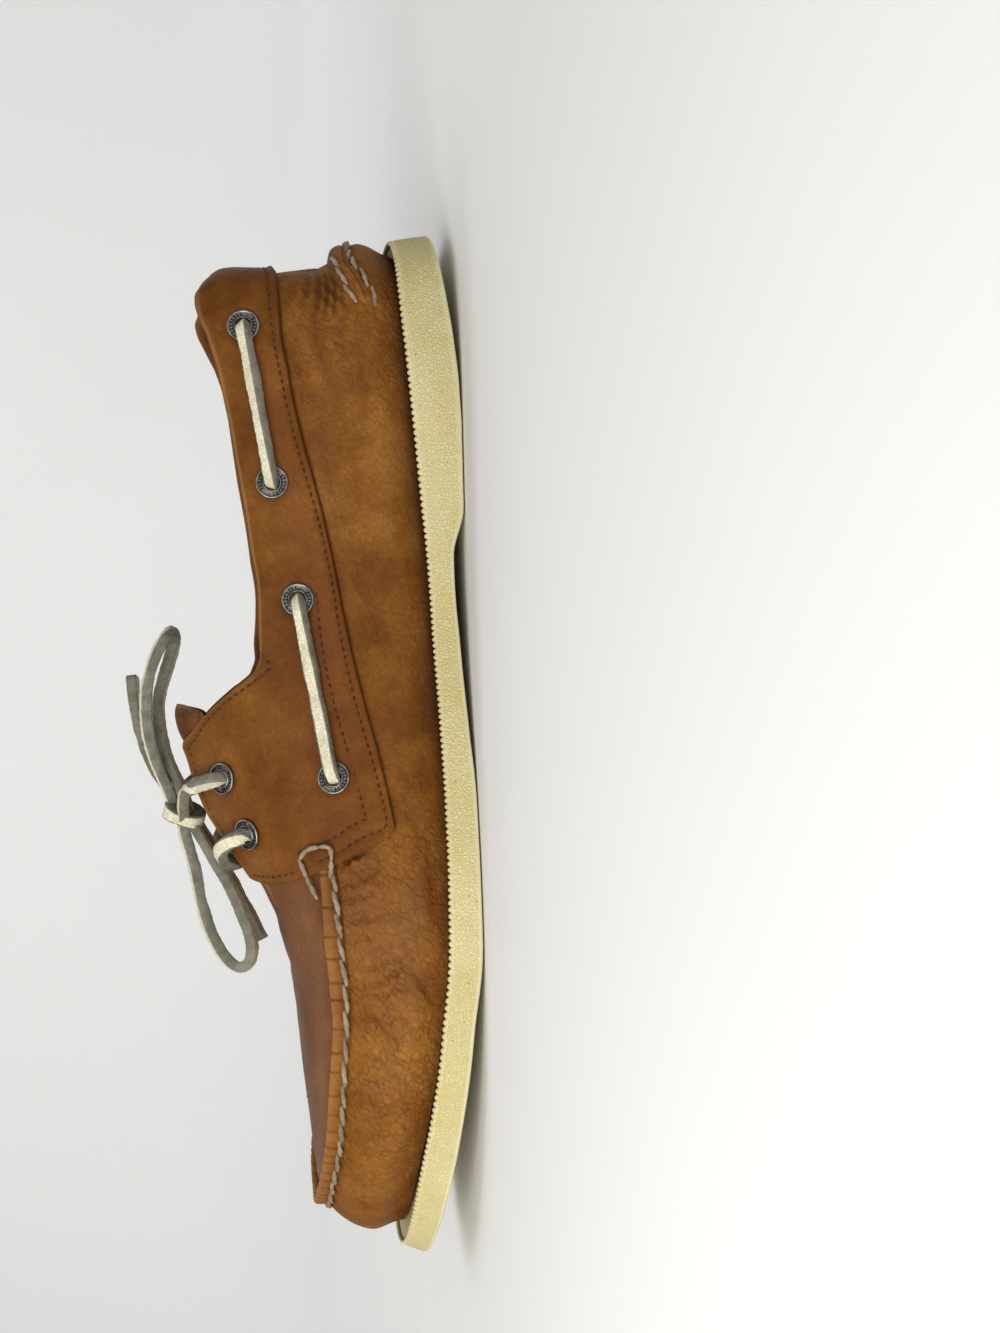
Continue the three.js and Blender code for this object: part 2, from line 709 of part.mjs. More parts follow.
const vectors = (list) => list.map(([x, y, z]) => new THREE.Vector3(x, y, z));
const eyeletNamed = (name) => EYELETS.find((row) => row.name === name);
for (const side of SIDES) {
  for (const bar of LACE_BARS) {
    const solid = laceBar(side.sign, eyeletNamed(bar.from), eyeletNamed(bar.to));
    addPiece(`${bar.name}_${side.suffix}`, solid, MATERIALS.lace);
  }
}

const topEyelet = eyeletNamed('eyelet_5');
const frontEyelet = eyeletNamed('eyelet_6');
const outOf = (side, row) => {
  const at = skinAt(side, row.x, row.z);
  return at.point.addScaledVector(at.normal, LACE.start);
};
const forward = new THREE.Vector3(1, 0, 0);
const sideways = new THREE.Vector3(0, 1, 0);
const crossing = [
  outOf(1, frontEyelet),
  ...vectors(CROSSING),
  outOf(-1, frontEyelet),
];
addPiece('lace_crossing', laceBody(crossing, forward), MATERIALS.lace);
const leadOuter = [outOf(1, topEyelet), ...vectors(LEAD_OUTER)];
const leadInner = [outOf(-1, topEyelet), ...vectors(LEAD_INNER)];
addPiece('bow_lead_outer', laceBody(leadOuter, forward), MATERIALS.lace);
addPiece('bow_lead_inner', laceBody(leadInner, forward), MATERIALS.lace);
for (const [name, points] of Object.entries(BOW)) {
  addPiece(name, laceBody(vectors(points), sideways), MATERIALS.lace);
}
const knot = new THREE.Mesh(new THREE.SphereGeometry(1, 10, 7), MATERIALS.lace);
knot.name = 'bow_knot';
knot.geometry.scale(KNOT.halfX, KNOT.halfY, KNOT.halfZ);
knot.position.set(KNOT.x, KNOT.y, KNOT.z);
shoe.add(knot);

export default shoe;
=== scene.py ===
"""A leather boat shoe for the left foot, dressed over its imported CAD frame.

Sizes are millimetres from the back of the heel, +X to the toe, +Y to the outer side and +Z up.
They become metres in the row frame only where a mesh is made.
"""
import math

import bmesh
import bpy
import numpy as np
from mathutils import Matrix, Vector


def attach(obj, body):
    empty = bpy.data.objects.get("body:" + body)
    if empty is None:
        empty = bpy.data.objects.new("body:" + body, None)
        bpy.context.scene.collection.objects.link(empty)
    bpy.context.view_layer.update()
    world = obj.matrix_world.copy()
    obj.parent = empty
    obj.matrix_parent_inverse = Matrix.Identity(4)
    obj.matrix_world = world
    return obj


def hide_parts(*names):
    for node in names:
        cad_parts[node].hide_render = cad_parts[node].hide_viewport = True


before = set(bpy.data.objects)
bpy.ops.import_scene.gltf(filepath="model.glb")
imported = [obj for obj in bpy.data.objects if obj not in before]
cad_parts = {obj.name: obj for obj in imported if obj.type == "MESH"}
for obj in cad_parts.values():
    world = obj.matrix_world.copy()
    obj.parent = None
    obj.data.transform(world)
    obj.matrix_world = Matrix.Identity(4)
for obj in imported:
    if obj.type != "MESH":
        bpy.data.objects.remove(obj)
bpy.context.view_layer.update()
bpy.context.scene.view_settings.view_transform = "Standard"

# ---- sizes the CAD also has ---------------------------------------------------------------

HEEL_REST_X = 60.0
LENGTH = 300.0
WALL = 2.0
GAP = 0.3
SADDLE_THICKNESS = 1.7
INSOLE_THICKNESS = 3.5
TUCK = 3.0
TUCK_HEIGHT = 10.0
CAD_COLUMNS = 31
SPINE_BACK = 50.0
SPINE_FRONT = 255.0
HEEL_BACK_START = 14.0
HEEL_BACK_REACH = 48.0
SADDLE_SKIN = GAP + SADDLE_THICKNESS

# x, outer side, inner side
SOLE_PLAN = [
    (0, 0, 0), (3, 17, -17), (13, 29, -28), (36, 35.5, -33.5), (65, 36, -33), (95, 36.5, -31),
    (125, 40, -33), (155, 47, -40), (185, 53, -48.5), (213, 54, -53), (240, 49, -53),
    (264, 38, -48), (284, 24, -38), (296, 9, -25), (300, -8, -8),
]
# x, bottom, top, how far the top edge stands inside the bottom edge, and how far the upper does
SOLE_SIDE = [
    (0, 5.6, 16.3, 1.5, 2), (10, 4.6, 16.0, 1.5, 2), (24, 2.9, 15.4, 1.5, 2.3),
    (38, 1.3, 14.4, 1.5, 2.5), (52, 0.3, 13.3, 1.5, 2.5), (62, 0, 12.5, 1.5, 2.5),
    (82, 0, 11.0, 1.5, 2.5), (96, 3.2, 9.9, 1.5, 2.5), (121, 2.3, 9.0, 1.5, 2.5),
    (145, 1, 8.2, 1.5, 2.5), (168, 0, 7.9, 1.5, 2.5), (196, 0, 8.2, 1.5, 2.5),
    (225, 2.5, 10.3, 1.8, 2.8), (252, 5.3, 13.2, 2.2, 3.4), (273, 8.1, 16.0, 2.4, 4.6),
    (300, 12.4, 18.6, 2.4, 6.8),
]
# x, ridge height, squareness of the section
LAST = [
    (0, 89, 4), (60, 89, 3.8), (100, 88, 3), (125, 86, 2.3), (140, 83, 2), (152, 78.5, 1.9),
    (162, 75, 1.9), (170, 70.5, 1.9), (180, 63.2, 1.95), (188, 57.8, 2), (200, 53.4, 2.1),
    (212, 50.2, 2.15), (235, 47.2, 2.4), (256, 44.8, 2.8), (300, 42, 2.9),
]
# x, y of the line that the two sides of the last meet on
SPINE_BEND = [(50, 0.5), (120, 3), (180, 3), (255, -6)]
# height, how far the back of the heel stands inside the last
HEEL_BACK = [
    (14, 2), (19, 1), (25, 0.4), (30, 1.8), (32.5, 3.2), (35.5, 7.6), (39.5, 7.7), (45.4, 7.9),
    (53, 8.3), (58, 7.9), (64, 7.2), (68.5, 8), (71, 8.7), (75, 9.3),
]
# x, height of the collar's and flaps' top edge on the outer side
TOPLINE = [
    (-12, 67.4), (9.5, 67.6), (12, 68), (15, 69.4), (18.5, 71.3), (22.5, 72.6), (27, 72),
    (34, 69.5), (52.5, 65.1), (68.4, 62.5), (92.6, 59), (110, 57.3), (120.5, 57.3),
    (125.5, 58.4), (131.4, 64.8), (137.2, 71.4), (142.9, 76.3), (148, 79.6), (155, 80),
    (164, 77), (172.5, 71), (180, 66.5), (190, 61),
]
# x, how much higher the topline is on the inner side
INNER_TOPLINE = [
    (12, 0), (18, 0.6), (30, -2), (42, -2.6), (62, -1.6), (91, -1.3), (108, -0.8), (118, 0),
]
# x, height
SADDLE_LOWER = [
    (-12, 52.5), (8, 51), (29.4, 50.3), (44, 48.4), (58.7, 45.8), (73.6, 42.2), (88.4, 38.8),
    (111.8, 34.7), (135.3, 30), (150.6, 26.4), (169.8, 22.8),
]
SADDLE_FRONT = [(169.8, 22.8), (172.7, 24.9), (175.5, 31.8), (179.2, 37.5), (183.2, 46.6), (185.5, 54)]
# x, half the width
THROAT = [(96, 30), (124, 17), (136, 11.5), (150, 9.5), (165, 10.5), (178, 13), (194, 17)]
THROAT_END = 185.2
TONGUE_PLAN = [(134.5, 8), (136, 13), (140, 17), (160, 21), (184, 20), (198, 15)]
TONGUE_END = 136.2
# x, height
TOE_SEAM = [
    (170, 40.8), (184, 39.4), (204, 37.8), (224, 36.6), (244, 37.4), (265, 38.2), (285, 39.8),
    (300, 40.4),
]
# number, x and z on the side of the saddle
EYELETS = {1: (31.2, 60), 2: (74.7, 53.2), 3: (107.2, 46.9), 4: (156.4, 38.5), 5: (156.4, 68.5),
           6: (171.9, 62)}
SIDES = {"outer": 1, "inner": -1}

# ---- curves -------------------------------------------------------------------------------

SPLINE_STEPS = 24
PLAN_STEPS = 1500      # points along each side of the sole's outline


def smoothstep(x, low, high):
    t = np.clip((np.asarray(x, float) - low) / (high - low), 0, 1)
    return t * t * (3 - 2 * t)


def lerp(a, b, t):
    return a + (b - a) * t


def bell(x, middle, reach, power=2):
    """1 at the middle, fading to 0 about two reaches away on each side."""
    return np.exp(-((x - middle) / reach) ** power)


def through(rows, column=1):
    """The smooth function through a table's column, as in the CAD."""
    at = np.array([row[0] for row in rows], float)
    value = np.array([row[column] for row in rows], float)
    chord = np.diff(value) / np.diff(at)
    slope = np.zeros(len(at))
    slope[0], slope[-1] = chord[0], chord[-1]
    for k in range(1, len(at) - 1):
        product = chord[k - 1] * chord[k]
        slope[k] = 0 if product <= 0 else 2 * product / (chord[k - 1] + chord[k])

    def curve(x):
        x = np.clip(np.asarray(x, float), at[0], at[-1])
        k = np.clip(np.searchsorted(at, x, side="left") - 1, 0, len(at) - 2)
        span = at[k + 1] - at[k]
        t = (x - at[k]) / span
        start = value[k] + slope[k] * span * t
        end = value[k + 1] - slope[k + 1] * span * (1 - t)
        return lerp(start, end, smoothstep(t, 0, 1))

    return curve


def spline(points, step, closed=False):
    """Points about a step apart on a centripetal Catmull-Rom curve."""
    p = np.array(points, float)
    count = len(p)
    if not closed:
        p = np.vstack([2 * p[0] - p[1], p, 2 * p[-1] - p[-2]])
    fine = []
    for i in range(count if closed else count - 1):
        p0, p1, p2, p3 = (p[(i + k - (1 if closed else 0)) % len(p)] for k in range(4))
        d0, d1, d2 = (max(np.linalg.norm(b - a), 1e-6) ** 0.5
                      for a, b in ((p0, p1), (p1, p2), (p2, p3)))
        m1 = d1 * ((p1 - p0) / d0 - (p2 - p0) / (d0 + d1) + (p2 - p1) / d1)
        m2 = d1 * ((p2 - p1) / d1 - (p3 - p1) / (d1 + d2) + (p3 - p2) / d2)
        for t in np.arange(SPLINE_STEPS) / SPLINE_STEPS:
            fine.append((2 * t**3 - 3 * t * t + 1) * p1 + (t**3 - 2 * t * t + t) * m1
                        + (3 * t * t - 2 * t**3) * p2 + (t**3 - t * t) * m2)
    fine.append(p[0] if closed else p[-2])
    fine = np.array(fine)
    if step is None:
        return fine
    return resample(fine, max(2, int(round(length_of(fine) / step)) + 1))


def reach_along(points):
    """How far along a line each of its points is."""
    return np.r_[0, np.cumsum(np.linalg.norm(np.diff(points, axis=0), axis=1))]


def length_of(points):
    return float(reach_along(points)[-1])


def resample(points, count, by=None):
    """The same line with count evenly spaced points; by is the line that is measured."""
    ruler = points if by is None else by
    reach = reach_along(ruler)
    want = np.linspace(0, reach[-1], count)
    return np.stack([np.interp(want, reach, points[:, k]) for k in range(points.shape[1])], 1)


def round_angles(count):
    return np.linspace(0, 2 * math.pi, count, endpoint=False)


def unit(v):
    return v / np.maximum(np.linalg.norm(v, axis=-1, keepdims=True), 1e-9)


sole_bottom = through(SOLE_SIDE, 1)
sole_top = through(SOLE_SIDE, 2)
top_inset = through(SOLE_SIDE, 3)
upper_inset = through(SOLE_SIDE, 4)
ridge = through(LAST, 1)
fullness = through(LAST, 2)
spine_bend = through(SPINE_BEND)
heel_back = through(HEEL_BACK)
toe_seam = through(TOE_SEAM)
topline = through(TOPLINE)
inner_topline = through(INNER_TOPLINE)
saddle_lower = through(SADDLE_LOWER)
throat_half = through(THROAT)

# ---- the last -----------------------------------------------------------------------------
# u goes round the shoe: 0 at the heel, 1 at the toe along the outer side, 2 back at the heel.


def plan_table():
    outer = [(x, y) for x, y, _ in SOLE_PLAN]
    inner = [(x, y) for x, _, y in SOLE_PLAN[1:-1]][::-1]
    ring = spline(outer + inner, None, closed=True)
    toe = (len(outer) - 1) * SPLINE_STEPS
    halves = [resample(ring[:toe + 1], PLAN_STEPS), resample(ring[toe:], PLAN_STEPS)]
    return np.vstack([halves[0], halves[1][1:]]), [length_of(h) for h in halves]


PLAN, SIDE_LENGTHS = plan_table()
PLAN_U = np.linspace(0, 2, len(PLAN))
HALF_ROUND = sum(SIDE_LENGTHS) / 2


def plan_at(u):
    u = np.mod(u, 2)
    return np.stack([np.interp(u, PLAN_U, PLAN[:, k]) for k in (0, 1)], -1)


def inward_at(u):
    along = unit(plan_at(u + 1 / CAD_COLUMNS) - plan_at(u - 1 / CAD_COLUMNS))
    return np.stack([along[..., 1], -along[..., 0]], -1)


def from_heel(u):
    u = np.mod(u, 2)
    return np.minimum(u * SIDE_LENGTHS[0], (2 - u) * SIDE_LENGTHS[1])


def spine_at(u):
    u = np.mod(u, 2)
    x = lerp(SPINE_BACK, SPINE_FRONT, plan_at(np.where(u <= 1, u, 2 - u))[..., 0] / LENGTH)
    return np.stack([x, spine_bend(x)], -1)


def last(u, rise, grow=0.0):
    """Points of the last grown outward: rise is 0 at the sole and 1 at the ridge."""
    u, rise, grow = np.broadcast_arrays(np.asarray(u, float), np.asarray(rise, float),
                                        np.asarray(grow, float))
    plan = plan_at(u)
    inward = inward_at(u)
    x = plan[..., 0]
    foot = plan + inward * (upper_inset(x) - grow)[..., None]
    spine = spine_at(u)
    bottom = sole_top(x) + GAP
    top = ridge(spine[..., 0]) + grow
    power = fullness(x)
    share = 1 - (1 - np.clip(rise, 0, 1) ** power) ** (1 / power)
    z = lerp(bottom, top, rise)
    tuck = TUCK * (1 - smoothstep(z - bottom, 0, TUCK_HEIGHT))
    heel = heel_back(z) * (1 - smoothstep(from_heel(u), HEEL_BACK_START, HEEL_BACK_REACH))
    flat = lerp(foot, spine, share[..., None]) + inward * (tuck + heel)[..., None]
    return np.concatenate([flat, z[..., None]], -1)


def normal_at(u, rise, grow=0.0):
    du, dr = 0.004, 0.006
    high = np.clip(rise + dr, 0, 1)
    low = np.clip(rise - dr, 0, 1)
    along = last(u + du, rise, grow) - last(u - du, rise, grow)
    up = last(u, high, grow) - last(u, low, grow)
    return unit(np.cross(up, along))


def side_range(side, count):
    return np.linspace(0, 1, count) if side > 0 else np.linspace(2, 1, count)


def locate(places, side, axes, grow):
    """(u, rise) where one side of the skin has these two coordinates."""
    u, rise = np.meshgrid(side_range(side, 501), np.sin(np.linspace(0, math.pi / 2, 301)),
                          indexing="ij")
    skin = last(u, rise, grow)[..., axes].reshape(-1, 2)
    places = np.array(places, float)
    near = np.array([np.argmin(((skin - p) ** 2).sum(1)) for p in places])
    found = np.stack([u.ravel()[near], rise.ravel()[near]], 1)
    for _ in range(4):
        here = last(found[:, 0], found[:, 1], grow)[:, axes]
        by_u = (last(found[:, 0] + 1e-4, found[:, 1], grow)[:, axes] - here) / 1e-4
        by_rise = (last(found[:, 0], found[:, 1] - 1e-4, grow)[:, axes] - here) / -1e-4
        miss = places - here
        det = by_u[:, 0] * by_rise[:, 1] - by_u[:, 1] * by_rise[:, 0]
        det = np.where(np.abs(det) < 1e-3, np.inf, det)
        du = (miss[:, 0] * by_rise[:, 1] - miss[:, 1] * by_rise[:, 0]) / det
        dr = (by_u[:, 0] * miss[:, 1] - by_u[:, 1] * miss[:, 0]) / det
        found[:, 0] += np.clip(du, -0.01, 0.01)
        found[:, 1] = np.clip(found[:, 1] + np.clip(dr, -0.02, 0.02), 0.001, 0.9995)
    return found


def rise_where(u, height, grow):
    """The rise at which each column first reaches height(x)."""
    steps = np.linspace(0, 1, 700)
    points = last(u[:, None], steps[None], grow)
    over = points[..., 2] - height(points[..., 0])
    k = np.argmax(over > 0, axis=1)
    k = np.maximum(k, 1)
    rows = np.arange(len(u))
    a, b = over[rows, k - 1], over[rows, k]
    return lerp(steps[k - 1], steps[k], -a / (b - a))


def rise_at(u, height):
    """The rise of the last at this height."""
    bottom = sole_top(plan_at(u)[..., 0]) + GAP
    return (height - bottom) / (ridge(spine_at(u)[..., 0]) - bottom)


def seam_rise(u):
    return rise_at(u, toe_seam(plan_at(u)[..., 0]))


# ---- meshes -------------------------------------------------------------------------------


def in_metres(points):
    return (np.asarray(points, float) - (HEEL_REST_X, 0, 0)) / 1000


def placed(name, data):
    made = bpy.data.objects.new(name, data)
    bpy.context.scene.collection.objects.link(made)
    return made


def piece(name, points, faces, material, slot, replaces=(), looks=None, second=None, weld=False):
    """A mesh object that rides on the shoe.

    looks holds per-vertex numbers for its material, second another material with the faces that
    have it, and weld joins points in the same place.
    """
    mesh = bpy.data.meshes.new(name)
    mesh.from_pydata(in_metres(points).tolist(), [], faces)
    for key, values in (looks or {}).items():
        mesh.attributes.new(key, "FLOAT", "POINT").data.foreach_set(
            "value", np.asarray(values, np.float32).ravel())
    mesh.materials.append(material)
    if second:
        mesh.materials.append(second[0])
        mesh.polygons.foreach_set("material_index", np.asarray(second[1], np.int32))
    if weld:
        work = bmesh.new()
        work.from_mesh(mesh)
        bmesh.ops.remove_doubles(work, verts=work.verts, dist=2e-5)
        bmesh.ops.recalc_face_normals(work, faces=work.faces)
        work.to_mesh(mesh)
        work.free()
    mesh.polygons.foreach_set("use_smooth", [True] * len(mesh.polygons))
    mesh.update()
    made = placed(name, mesh)
    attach(made, "root")
    if replaces:
        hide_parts(*replaces)
    return made


def thicken(made, millimetres, offset):
    """Gives a sheet its thickness: inward with an offset of -1, both ways with 0."""
    thick = made.modifiers.new("thickness", "SOLIDIFY")
    thick.thickness = millimetres / 1000
    thick.offset = offset


def leather_looks(tone, grain, red=0.0):
    """Looks of a leather piece, from a number for each vertex or one for all."""
    return {key: np.broadcast_to(values, tone.shape)
            for key, values in (("tone", tone), ("grain", grain), ("red", red))}


def whole_rings(values, columns, around, rest=0.0):
    """Numbers for closed sections, of which only the first ones are given."""
    full = np.full((columns, around), rest, float)
    given = values.reshape(columns, -1)
    full[:, :given.shape[1]] = given
    return full


def grid_faces(rows, columns, loop_rows=False, loop_columns=False):
    """Quads over a grid of rows x columns points."""
    r = np.arange(rows if loop_rows else rows - 1)
    c = np.arange(columns if loop_columns else columns - 1)
    r, c = np.meshgrid(r, c, indexing="ij")
    up, right = (r + 1) % rows, (c + 1) % columns
    quads = np.stack([r * columns + c, r * columns + right, up * columns + right,
                      up * columns + c], -1)
    return quads.reshape(-1, 4).tolist()


def loft_faces(sections, around, loop):
    """Faces of a body made of equal closed sections, with flat ends unless it is a loop."""
    faces = grid_faces(sections, around, loop_rows=loop, loop_columns=True)
    if not loop:
        end = (sections - 1) * around
        faces += [list(range(around))[::-1], list(range(end, end + around))]
    return faces


def joined(parts):
    """One mesh from several (points, faces) parts."""
    points, faces, start = [], [], 0
    for p, f in parts:
        points.append(np.asarray(p, float).reshape(-1, 3))
        faces += [[k + start for k in face] for face in f]
        start += len(points[-1])
    return np.vstack(points), faces


def lofted(name, sections, loop, *rest, **more):
    """A piece made of closed sections, each a row of points. rest is as for piece."""
    count, around = sections.shape[:2]
    return piece(name, sections.reshape(-1, 3), loft_faces(count, around, loop), *rest, **more)


def sheet(name, grid, loop, *rest, **more):
    """A piece made of one open grid of points, closed round its rows if it is a loop."""
    rows, columns = grid.shape[:2]
    return piece(name, grid.reshape(-1, 3), grid_faces(rows, columns, loop), *rest, **more)


def joined_piece(name, parts, *rest, **more):
    """A piece made of several (points, faces) parts."""
    return piece(name, *joined(parts), *rest, **more)


def distance_to(points, line):
    """Distance from each point to a polyline, and how far along it (0 to 1) the nearest place is."""
    points = points.reshape(-1, points.shape[-1])
    best = np.full(len(points), 1e9)
    where = np.zeros(len(points))
    reach = reach_along(line)
    for k, (a, b) in enumerate(zip(line[:-1], line[1:])):
        span = b - a
        t = np.clip(((points - a) @ span) / (span @ span), 0, 1)
        away = np.linalg.norm(points - a - t[:, None] * span, axis=1)
        closer = away < best
        best[closer] = away[closer]
        where[closer] = lerp(reach[k], reach[k + 1], t[closer]) / reach[-1]
    return best, where


def ripple(values, seed, size):
    """Smooth seeded noise along a line of positions, with features of about this size."""
    rng = np.random.default_rng(seed)
    knots = rng.normal(size=int((values.max() - values.min()) / size) + 4)
    at = (values - values.min()) / size
    k = at.astype(int)
    return lerp(knots[k], knots[k + 1], smoothstep(at - k, 0, 1))


# ---- camera -------------------------------------------------------------------------------

CAMERA_PLACE = (129.2, 589.3, 71.8)
CAMERA_TURN = (-8.3, 1.39, 0.33)     # degrees about X, Y and Z, as one turn
FOCAL_LENGTH = 54.0


def make_camera():
    """Looks at the outer side with the heel up in the frame and the sole to the right."""
    turn = np.radians(CAMERA_TURN)
    angle = float(np.linalg.norm(turn))
    rolled = Matrix(((0, 0, -1), (1, 0, 0), (0, -1, 0)))
    seen = rolled @ Matrix.Rotation(angle, 3, tuple(turn / angle))
    axes = Matrix((seen[0], -seen[1], -seen[2])).transposed()
    data = bpy.data.cameras.new("camera")
    data.sensor_width = 36
    data.lens = FOCAL_LENGTH
    data.clip_start = 0.01
    data.clip_end = 20
    camera = placed("camera", data)
    camera.matrix_world = Matrix.Translation(in_metres(CAMERA_PLACE)) @ axes.to_4x4()
    bpy.context.scene.camera = camera


make_camera()

# ---- materials ----------------------------------------------------------------------------


class Shader:
    """A node material that is built up one node at a time."""

    def __init__(self, name, **fixed):
        self.material = bpy.data.materials.new(name)
        self.material.use_nodes = True
        self.tree = self.material.node_tree
        self.surface = self.tree.nodes["Principled BSDF"]
        for key, value in fixed.items():
            self.surface.inputs[key.replace("_", " ")].default_value = value
        self.place = self.node("TexCoord", out="Object")

    def put(self, socket, value):
        if isinstance(value, bpy.types.NodeSocket):
            self.tree.links.new(value, socket)
        else:
            socket.default_value = value

    def node(self, kind, inputs=None, out=0, **settings):
        made = self.tree.nodes.new("ShaderNode" + kind)
        for key, value in settings.items():
            setattr(made, key, value)
        for key, value in (inputs or {}).items():
            self.put(made.inputs[key], value)
        return made.outputs[out]

    def noise(self, size, detail=3.0, rough=0.5, place=None, out=0):
        """Noise with features of this size in millimetres."""
        return self.node("TexNoise", {"Vector": place or self.place, "Scale": 1000 / size,
                                      "Detail": detail, "Roughness": rough}, out=out)

    def cells(self, size, place):
        """Distance to the edges of cells of this size in millimetres."""
        return self.node("TexVoronoi", {"Vector": place, "Scale": 1000 / size},
                         out="Distance", feature="DISTANCE_TO_EDGE")

    def slanted(self, stretch, place):
        """The place turned about Y and squeezed, so that features run down towards the toe."""
        turned = self.node("Mapping", {"Vector": place, "Rotation": (0, math.radians(45), 0)})
        return self.node("Mapping", {"Vector": turned, "Scale": (1, 1, stretch)})

    def wobble(self, size, amount):
        """The place moved about by noise, so that lines made from it wander."""
        shift = self.noise(size, 2.0, out="Color")
        centred = self.node("VectorMath", {0: shift, 1: (0.5, 0.5, 0.5)}, operation="SUBTRACT")
        scaled = self.node("VectorMath", {0: centred, "Scale": amount / 1000}, operation="SCALE")
        return self.node("VectorMath", {0: self.place, 1: scaled}, operation="ADD")

    def times(self, a, b, clamp=False):
        return self.node("Math", {0: a, 1: b}, operation="MULTIPLY", use_clamp=clamp)

    def plus(self, a, b):
        return self.node("Math", {0: a, 1: b}, operation="ADD")

    def span(self, value, low, high, to_low=0.0, to_high=1.0):
        return self.node("MapRange", {"Value": value, "From Min": low, "From Max": high,
                                      "To Min": to_low, "To Max": to_high},
                         interpolation_type="SMOOTHSTEP")

    def mix(self, share, a, b, blend="MIX"):
        made = self.tree.nodes.new("ShaderNodeMix")
        made.data_type = "RGBA"
        made.blend_type = blend
        made.clamp_factor = True
        self.put(made.inputs[0], share)
        for socket, value in ((made.inputs[6], a), (made.inputs[7], b)):
            self.put(socket, value if isinstance(value, bpy.types.NodeSocket) else (*value, 1))
        return made.outputs[2]

    def look(self, name):
        return self.node("Attribute", out="Fac", attribute_name=name)

    def bump(self, height, distance):
        """distance is the height in millimetres that a value of 1 stands for."""
        return self.node("Bump", {"Height": height, "Distance": distance / 1000,
                                  "Strength": 1.0}, out="Normal")

    def finish(self, colour, roughness=None, normal=None):
        self.put(self.surface.inputs["Base Color"], colour)
        if roughness is not None:
            self.put(self.surface.inputs["Roughness"], roughness)
        if normal is not None:
            self.put(self.surface.inputs["Normal"], normal)
        return self.material


def leather(name, dark, middle, light, deep):
    """Oiled leather. Its looks are tone (-1 darker to 1 lighter), grain and red; the pieces set tone
    for painted shade and painted highlight.
    """
    s = Shader(name, Specular_IOR_Level=0.14)
    broad = s.noise(28, 3, 0.6)
    patch = s.noise(8, 4, 0.62, s.wobble(14, 6))
    fine = s.noise(1.2, 4, 0.65)
    pores = s.noise(0.5, 3, 0.6)
    grain = s.look("grain")
    small = s.span(s.cells(1.9, s.slanted(0.5, s.wobble(3.5, 1.5))), 0.0, 0.18, 1.0, 0.0)
    small = s.times(small, s.span(s.noise(4, 3, 0.55), 0.36, 0.6, 0.25, 1.0))
    wide = s.span(s.cells(5.2, s.slanted(0.42, s.wobble(5, 2.4))), 0.0, 0.05, 1.0, 0.0)
    wide = s.times(wide, s.span(s.noise(5, 3, 0.55), 0.42, 0.62))
    lines = s.times(s.plus(s.times(small, 0.42), s.times(wide, 0.32)), grain)
    blend = s.plus(s.times(broad, 0.6), s.times(patch, 0.4))
    colour = s.mix(s.span(blend, 0.38, 0.52), dark, middle)
    colour = s.mix(s.span(blend, 0.5, 0.64), colour, light)
    colour = s.mix(s.span(fine, 0.35, 0.65, 0.0, 0.26), colour, deep)
    colour = s.mix(s.times(lines, 0.8), colour, deep)
    colour = s.mix(s.times(s.look("red"), 0.6), colour, (0.17, 0.046, 0.020))
    tone = s.look("tone")
    # tone paints shade towards deep brown and a highlight towards a light tan
    colour = s.mix(s.times(tone, -1.0, True), colour, deep)
    colour = s.mix(s.times(tone, 1.0, True), colour, (0.46, 0.25, 0.10))
    roughness = s.span(s.plus(s.times(patch, 0.6), s.times(fine, 0.4)), 0.3, 0.7, 0.48, 0.68)
    height = s.times(lines, -0.8)
    height = s.plus(height, s.times(fine, 0.3))
    height = s.plus(height, s.times(pores, 0.14))
    height = s.plus(height, s.times(patch, 0.4))
    return s.finish(colour, roughness, s.bump(height, 0.42))


def plain_leather(name, dark, light, rough):
    """Suede or unfinished leather, for insides and cut edges."""
    s = Shader(name, Specular_IOR_Level=0.25)
    patch = s.noise(6, 5, 0.65)
    nap = s.noise(0.5, 4, 0.7)
    colour = s.mix(s.span(patch, 0.35, 0.65), dark, light)
    colour = s.mix(s.span(nap, 0.3, 0.7, 0.25, 0.0), colour, (0.03, 0.015, 0.01))
    return s.finish(colour, rough, s.bump(nap, 0.25))


def rubber():
    """Cream rubber, with yellowed patches, a fine pebbled face and dark specks; dirt_and_shade darkens
    it, much of it as painted shade, and edge is a painted highlight along its rims.
    """
    s = Shader("sole_rubber", Specular_IOR_Level=0.2)
    broad = s.noise(40, 3, 0.6)
    patch = s.noise(8, 4, 0.6)
    pebble = s.cells(0.95, s.wobble(1.6, 0.7))
    bumpy = s.span(pebble, 0.0, 0.35)
    speck = s.noise(1.6, 2, 0.5)
    dust = s.noise(0.7, 3, 0.6)
    colour = s.mix(s.span(broad, 0.38, 0.62), (0.66, 0.58, 0.29), (0.74, 0.665, 0.37))
    colour = s.mix(s.span(patch, 0.5, 0.68, 0.0, 0.5), colour, (0.66, 0.56, 0.20))
    colour = s.mix(s.span(bumpy, 0.0, 0.6, 0.36, 0.0), colour, (0.40, 0.33, 0.14))
    colour = s.mix(s.span(speck, 0.70, 0.78, 0.0, 0.7), colour, (0.16, 0.13, 0.07))
    colour = s.mix(s.span(dust, 0.3, 0.75, 0.0, 0.16), colour, (0.42, 0.36, 0.20))
    # darkening: a little on the bottom, and painted shade in the crevices and towards the heel
    dirt_and_shade = s.look("dirt_and_shade")
    colour = s.mix(dirt_and_shade, colour, (0.085, 0.055, 0.025))
    # edge: a painted highlight along the sole's rims
    colour = s.mix(s.look("edge"), colour, (0.80, 0.75, 0.52))
    face = s.times(bumpy, s.look("pebbled"))
    height = s.plus(face, s.times(dust, 0.25))
    return s.finish(colour, s.span(dust, 0.3, 0.7, 0.55, 0.75), s.bump(height, 0.18))


